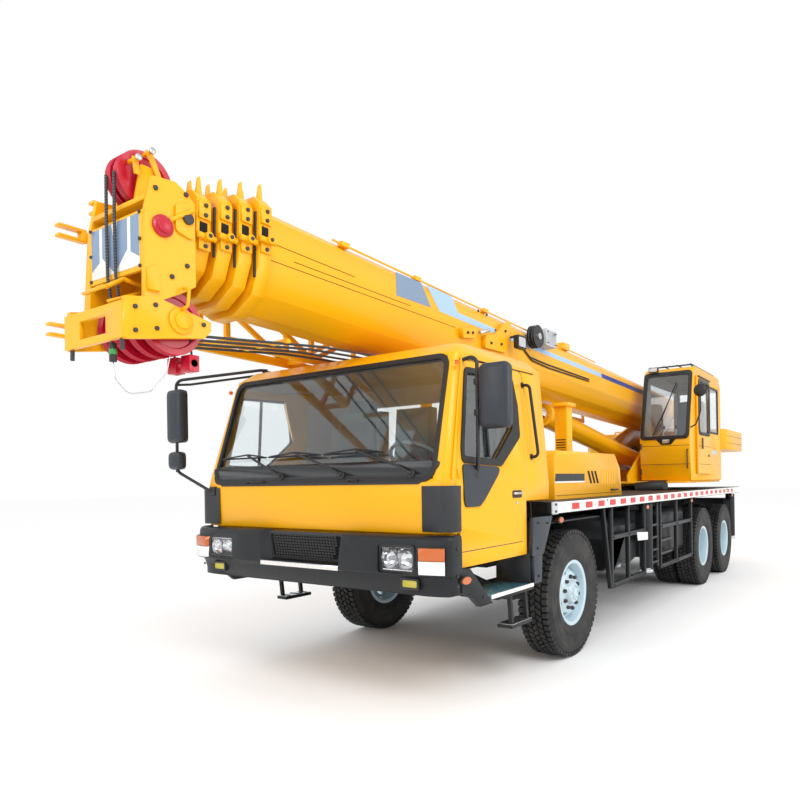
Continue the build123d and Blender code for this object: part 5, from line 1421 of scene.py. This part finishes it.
def hood_details():
    """Bands, painted shade slots, louvres, handles and a painted shade joint line of the hood; painted
    shade slots and the cap of the air intake.
    """
    build = Build()
    for side in (1, -1):
        place = side_place(side * HOOD_HALF)
        band_colours = [([(0.095, 1.563), (-0.526, 1.563), (-0.526, 1.497), (0.112, 1.497)], "black"),
                        ([(0.112, 1.496), (-0.526, 1.496), (-0.526, 1.482), (0.117, 1.482)], "white")]
        for outline, colour in band_colours:
            plate(build, outline, place, -0.001, 0.003, colour)
        # three slanted slots: thin near-black plates of painted shade
        for k in range(3):
            x = -0.600 - 0.085 * k
            plate(build, softened([(x, 1.590), (x - 0.040, 1.590), (x - 0.110, 1.470), (x - 0.070, 1.470)],
                                  0.006), place, -0.001, 0.003, "shadow")
        for x in (-0.95, -1.02, -1.09, -1.16, -1.23, -1.30):
            plate(build, rectangle((x, x - 0.030), (1.60, 1.46)), place, -0.001, 0.0025,
                  "yellow")
        build.pipe([place(-1.35, 1.40, 0.0), place(-1.35, 1.40, 0.03), place(-1.20, 1.40, 0.03),
                         place(-1.20, 1.40, 0.0)], 0.008, "black", 0.015)
        # the hood's joint line, drawn as a line of painted shade
        build.pipe([place(0.10, 1.372, -0.001), place(-1.50, 1.372, -0.001)], 0.003, "seam", 0.01, 6)
    build.piece("hood_trim", "carrier")

    intake = Build()
    # intake slots: thin near-black plates of painted shade
    for z in [1.80 + 0.026 * k for k in range(5)]:
        intake.box((ahead(-0.768), ahead(-0.764)), (0.665, 0.765), (z, z + 0.008), "shadow")
    intake.pipe([at(-0.835, 0.715, 1.765), at(-0.835, 0.715, 1.770)], 0.09, "black", 0.01, 16)
    intake.piece("intake_slots", "carrier")


def deck_rail():
    """White edge rail with red squares, end plates, bolts and marker lamps."""
    build = Build()
    for side in (1, -1):
        place = side_place(side * DECK_EDGE)
        plate(build, rectangle((0.575, -6.900), (1.246, 1.334)), place, -0.001, 0.0025, "white")
        plate(build, rectangle((0.572, 0.470), (1.240, 1.338)), place, 0.0, 0.008, "silver")
        patch = Build()
        patch.prism(rectangle((-0.075, 0.075), (-0.026, 0.026)), "y", -0.001, 0.0045, "rail_red")
        build.row(patch, 23, place(-6.220, 1.290, 0.0 if side > 0 else 0.0035),
                        (0.2882, 0, 0), "rail_red")
        build.bolts([place(0.521, z, 0.008) for z in (1.262, 1.316)], (0, side, 0), 0.010)
        build.bolts([place(x, 1.315, 0.002) for x in (-0.6, -1.9, -3.2, -4.5, -5.8)], (0, side, 0), 0.007)
        for x, z in ((0.385, 1.187), (-1.824, 1.198), (-3.689, 1.205), (-6.30, 1.205)):
            spot = side_place(side * (DECK_EDGE - 0.030))
            plate(build, oval(x, z, 0.046, 0.028, 20), spot, -0.030, 0.016, "black")
            plate(build, oval(x, z, 0.046 * 0.82, 0.028 * 0.76, 20), spot, 0.012, 0.026, "amber")
    build.piece("deck_rail_film", "carrier")


def guard_details():
    """Blank plates, bolts and edge tubes on the side guards; ladder treads and lockers behind them."""
    build = Build()
    for side in (1, -1):
        y = DECK_EDGE - 0.018
        place = side_place(side * y)
        plate(build, softened([(-1.490, 0.948), (-1.840, 0.925), (-1.840, 0.842), (-1.515, 0.858)], 0.01),
              place, -0.004, 0.004, "white")
        for rear, front in ((-1.79, -0.77), (-3.75, -2.33)):
            for z in (0.488, 0.948):
                build.bolts([place(x, z, -0.002) for x in (rear + 0.06, (rear + front) / 2, front - 0.06)],
                            (0, side, 0), 0.010)
        # steel locker and air bottles behind the guard
        build.box((ahead(-2.240), ahead(-1.960)), sorted((side * 1.000, side * 1.140)), (0.990, 1.200),
                  "silver")
        build.bar(at(-1.30, side * 1.06, 0.60), at(-1.30, side * 1.06, 0.86), 0.055, "silver", 20)
        for z in (0.560, 0.700, 0.840, 0.980):
            build.bar(at(-2.060, side * 1.205, z), at(-2.280, side * 1.205, z), 0.014, "cast")
        for x in (-2.060, -2.280):
            build.bar(at(x, side * 1.205, 0.500), at(x, side * 1.205, 1.236), 0.014, "cast")
    build.piece("guard_details", "carrier", bevel=0.002)


def deck_machinery():
    """Valve block beside the turntable, and the treads of the cab's steps."""
    build = Build()
    build.prism(stations([(-3.75, 1.345), (-3.75, 1.440), (-3.90, 1.480), (-3.98, 1.480), (-3.98, 1.345)]),
                "y", 0.45, 0.85, "black")
    build.piece("deck_valves", "carrier", bevel=0.006)
    steps = Build()
    for side in (1, -1):
        y = sorted((side * 0.940, side * 1.232))
        steps.box((ahead(0.885), ahead(1.470)), y, (0.7352, 0.7460), "tread")
        steps.box((ahead(0.880), ahead(1.480)), sorted((side * 1.232, side * 1.243)), (0.726, 0.752),
                  "white")
        steps.box((ahead(0.885), ahead(1.175)), sorted((side * 1.105, side * 1.222)), (0.4905, 0.4945),
                  "steel")
        for x in (0.93, 1.03, 1.13):
            steps.box((ahead(x - 0.006), ahead(x + 0.006)), sorted((side * 1.110, side * 1.218)),
                      (0.493, 0.500), "black")
    steps.piece("step_treads", "carrier", slot="step_plate", bevel=0.001)


# ---------------------------------------------------------------- operator's cab
BOOTH_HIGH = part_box("operator_cab")[1]
BOOTH_SILL, BOOTH_LEAN = 2.070, 240 / 940      # where the sloping windscreen starts, and its slope


def booth_front(y, z, out=0.0):
    """Point on the sloping front of the operator's cab."""
    return (BOOTH_HIGH.x - max(0.0, z - BOOTH_SILL) * BOOTH_LEAN + out, y, z)


def booth_trim():
    """Operator's cab: window frames, wiper, mirror, work lamp, roof guard, seat, console and door trim."""
    build = Build()
    screen = [(0.497, 2.087), (1.103, 2.087), (1.103, 2.993), (0.497, 2.993)]
    band(build, softened(inset(screen, -0.038), 0.07), softened(inset(screen, 0.012), 0.05), booth_front,
         -0.006, 0.014, "black")
    plate(build, [(0.660, 2.075), (0.760, 1.975), (0.890, 1.975), (0.985, 2.075)], booth_front, -0.002,
          0.010, "black")
    plate(build, softened(rectangle((0.775, 0.875), (1.995, 2.045)), 0.01), booth_front, 0.009, 0.013,
          "steel")
    build.pipe([booth_front(0.640, 2.100, 0.020), booth_front(0.800, 2.480, 0.042),
                booth_front(0.850, 2.620, 0.030)], 0.008, "black")
    build.pipe([booth_front(0.745, 2.320, 0.022), booth_front(0.930, 2.860, 0.022)], 0.008, "gasket")
    flank = side_place(BOOTH_HIGH.y)
    window = rectangle((-5.160, -5.780), (2.180, 2.900))
    band(build, softened(inset(window, -0.001), 0.04), softened(inset(window, 0.030), 0.06), flank, -0.030,
         -0.002, "black")
    # creases of the pressed skin below the windows, drawn as lines of painted shade
    for z in (1.960, 1.700):
        build.pipe([flank(-5.120, z, -0.0035), flank(-5.930, z, -0.0035)], 0.004, "seam", 0.01, 6)
        build.pipe([booth_front(0.455, z, -0.001), booth_front(1.145, z, -0.001)], 0.004, "seam", 0.01, 6)
    plate(build, softened(rectangle((-5.30, -5.62), (1.86, 1.93)), 0.01), flank, -0.002, 0.0004, "silver")
    # round mirror on its bent arm
    build.pipe([at(-4.05, 1.145, 2.20), at(-4.02, 1.230, 2.24), at(-3.99, 1.300, 2.42),
                at(-3.985, 1.300, 2.64)], 0.010, "black", 0.05)
    mirror = [(0, 0.022), (0.060, 0.018), (0.088, 0.002), (0.090, -0.006), (0.082, -0.010), (0, -0.010)]
    build.turned(mirror, at(-3.985, 1.300, 2.700), (1, 0, 0.1), "black", 28)
    build.turned([(0, -0.0105), (0.076, -0.0105), (0.076, -0.0125), (0, -0.0125)], at(-3.985, 1.300, 2.700),
                 (1, 0, 0.1), "chrome", 28)
    # work lamp and hinges
    lamp = at(-4.215, 0.600, 3.070)
    build.box(*spread(lamp, (0.030, 0.065, 0.034)), "black")
    build.box(*spread((lamp[0] + 0.032, lamp[1], lamp[2]), (0.004, 0.056, 0.026)), "clear")
    for z in (1.600, 1.960):
        build.bar(at(-3.992, 0.470, z - 0.040), at(-3.992, 0.470, z + 0.040), 0.012, "cast")
    build.pipe([at(-3.998, 1.120, 1.640), at(-3.965, 1.120, 1.650), at(-3.965, 1.120, 1.890),
                at(-3.998, 1.120, 1.900)], 0.009, "black", 0.02)
    build.piece("booth_trim", "turntable", bevel=0.002)

    guard = Build()
    bars = [[at(x, 0.500, 3.085), at(x, 0.500, 3.125), at(x, 1.100, 3.125), at(x, 1.100, 3.085)]
            for x in (-4.380, -4.850, -5.320, -5.700)]
    for line in bars:
        guard.pipe(line, 0.011, "black", 0.03)
    for y in (0.510, 0.710, 0.900, 1.090):
        guard.bar(at(-4.340, y, 3.128), at(-5.740, y, 3.128), 0.009, "black")
    seat = softened(rectangle((ahead(-5.380), ahead(-4.880)), (0.560, 1.040)), 0.06)
    guard.skin([[(x, y, z) for x, y in seat] for z in (1.860, 1.990, 2.020)], "seat")
    back = softened([(0.570, 2.020), (1.030, 2.020), (0.990, 2.720), (0.610, 2.720)], 0.08)
    guard.skin([[at(x - (z - 2.02) * 0.14, y, z) for y, z in back] for x in (-5.480, -5.370)], "seat")
    guard.box((ahead(-5.340), ahead(-4.920)), (0.640, 0.960), (1.502, 1.858), "black")
    guard.prism(stations([(-4.420, 1.502), (-4.200, 1.502), (-4.150, 2.020), (-4.330, 2.040)]), "y", 0.540,
                1.040, "trim")
    for y in (0.700, 0.880):
        guard.bar(at(-4.250, y, 2.020), at(-4.330, y, 2.220), 0.009, "steel")
        guard.bar(at(-4.330, y, 2.215), at(-4.345, y, 2.260), 0.020, "black")
    guard.piece("booth_fittings", "turntable", replaces=("operator_fittings",), bevel=0.006)

    door = Build()
    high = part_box("operator_door")[1]
    place = side_place(high.y)
    pane = rectangle((-4.400, -5.010), (2.150, 2.890))
    band(door, softened(inset(pane, -0.034), 0.10), softened(inset(pane, 0.012), 0.08), place, -0.006,
         0.010, "black")
    # creases of the door's pressed skin, drawn as lines of painted shade
    for z in (1.960, 1.700):
        door.pipe([place(-4.345, z, -0.001), place(-5.065, z, -0.001)], 0.004, "seam", 0.01, 6)
    plate(door, softened(rectangle((-4.560, -4.600), (1.920, 2.080)), 0.012), place,
          -0.001, 0.012, "black")
    door.turned([(0, 0), (0.022, 0), (0.020, 0.010), (0, 0.012)], place(-4.960, 1.830), (0, 1, 0), "cast",
                16)
    door.box(*spread((ahead(-4.705), high.y + 0.006, high.z - 0.012), (0.360, 0.008, 0.010)), "black")
    door.piece("booth_door_trim", "operator_door", bevel=0.002)


def turntable_details():
    """Painted shade lines along the counterweight's edges, its lifting loops, and the hoses to the luffing
    cylinder.
    """
    build = Build()
    low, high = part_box("counterweight")
    # lines of painted shade along the counterweight's edges
    for z in (low.z + 0.115, low.z + 0.230):
        for side in (1, -1):
            build.pipe([(low.x + 0.12, side * (high.y - 0.001), z), (high.x - 0.14, side * (high.y - 0.001),
                                                                     z)], 0.004, "seam", 0.01, 6)
    for side in (1, -1):
        build.pipe([at(-6.30, side * 0.60, high.z - 0.01), at(-6.30, side * 0.60, high.z + 0.05),
                    at(-6.30, side * 0.76, high.z + 0.05), at(-6.30, side * 0.76, high.z - 0.01)], 0.012,
                   "yellow", 0.02)
    for k, y in enumerate((0.385, 0.405, 0.425)):
        build.pipe([at(-5.65, y, 1.60), at(-5.10, y, 1.72 - 0.02 * k), at(-4.60, y, 1.58),
                    at(-4.30, y, 1.50)], 0.010, "black", 0.12, 8)
    build.piece("turntable_lines", "turntable")


windscreen()
bumper()
front_panel()
for side, hand in ((1, "left"), (-1, "right")):
    door_trim(side, hand)
cab_sides()
mirrors()
seats()
boom_markings()
collar_details()
head_details()
boom_fittings()
hood_details()
deck_rail()
guard_details()
deck_machinery()
booth_trim()
turntable_details()

# ---------------------------------------------------------------- floor, light and camera


def studio():
    """Pale floor, a plain white surround and soft light."""
    bpy.ops.mesh.primitive_plane_add(size=160)
    floor = bpy.context.object
    floor.name = "floor"
    s = Shader("pale_floor", Roughness=0.75)
    s.colour(s.mix(s.noise(0.6, 3), (0.985, 0.985, 0.985), (0.975, 0.975, 0.975)))
    s.surface.inputs["Specular IOR Level"].default_value = 0.0
    floor.data.materials.append(s.material)

    world = bpy.data.worlds.new("white_surround")
    bpy.context.scene.world = world
    world.use_nodes = True
    tree = world.node_tree
    tree.nodes.clear()
    rays = tree.nodes.new("ShaderNodeLightPath")
    seen = None
    for ray in ("Is Camera Ray", "Is Glossy Ray", "Is Transmission Ray"):
        if seen is None:
            seen = rays.outputs[ray]
            continue
        both = tree.nodes.new("ShaderNodeMath")
        both.operation = "MAXIMUM"
        tree.links.new(seen, both.inputs[0])
        tree.links.new(rays.outputs[ray], both.inputs[1])
        seen = both.outputs[0]
    ambient, white = tree.nodes.new("ShaderNodeBackground"), tree.nodes.new("ShaderNodeBackground")
    ambient.inputs["Color"].default_value = (1, 1, 1, 1)
    ambient.inputs["Strength"].default_value = 1.0
    white.inputs["Color"].default_value = (1, 1, 1, 1)
    white.inputs["Strength"].default_value = 1.0
    blend = tree.nodes.new("ShaderNodeMixShader")
    tree.links.new(seen, blend.inputs[0])
    tree.links.new(ambient.outputs[0], blend.inputs[1])
    tree.links.new(white.outputs[0], blend.inputs[2])
    tree.links.new(blend.outputs[0], tree.nodes.new("ShaderNodeOutputWorld").inputs["Surface"])

    lights = [                     # name, place, size, watts
        ("key", (9.0, 9.0, 10.0), 6.0, 750),
        ("front", (12.0, -2.0, 5.0), 5.0, 150),
        ("side", (-3.0, 14.0, 6.0), 7.0, 420),
    ]
    for name, place, size, watts in lights:
        lamp = bpy.data.lights.new(name, "AREA")
        lamp.shape = "DISK"
        lamp.size = size
        lamp.energy = watts
        holder = bpy.data.objects.new(name, lamp)
        holder.location = place
        holder.rotation_euler = (Vector((-0.5, 0, 1.5)) - Vector(place)).to_track_quat("-Z", "Y").to_euler()
        bpy.context.scene.collection.objects.link(holder)
    bpy.context.scene.view_settings.view_transform = "Standard"


def look():
    """Camera at eye height off the front left corner, turned a little off the crane's middle."""
    yaw, pitch, roll = -2.5555, -0.0028, -0.0153
    forward = Vector((cos(pitch) * cos(yaw), cos(pitch) * sin(yaw), sin(pitch)))
    right = forward.cross(Vector((0, 0, 1))).normalized()
    up = right.cross(forward)
    right, up = right * cos(roll) + up * sin(roll), up * cos(roll) - right * sin(roll)
    camera = bpy.data.objects.new("camera", bpy.data.cameras.new("camera"))
    turn = Matrix((right, up, -forward)).transposed().to_4x4()
    camera.matrix_world = Matrix.Translation((ahead(5.1664), 3.4597, 1.5156)) @ turn
    camera.data.sensor_width = 36
    camera.data.lens = 29.178
    camera.data.shift_x = -0.077
    camera.data.shift_y = 0.103
    bpy.context.scene.collection.objects.link(camera)
    bpy.context.scene.camera = camera


studio()
look()
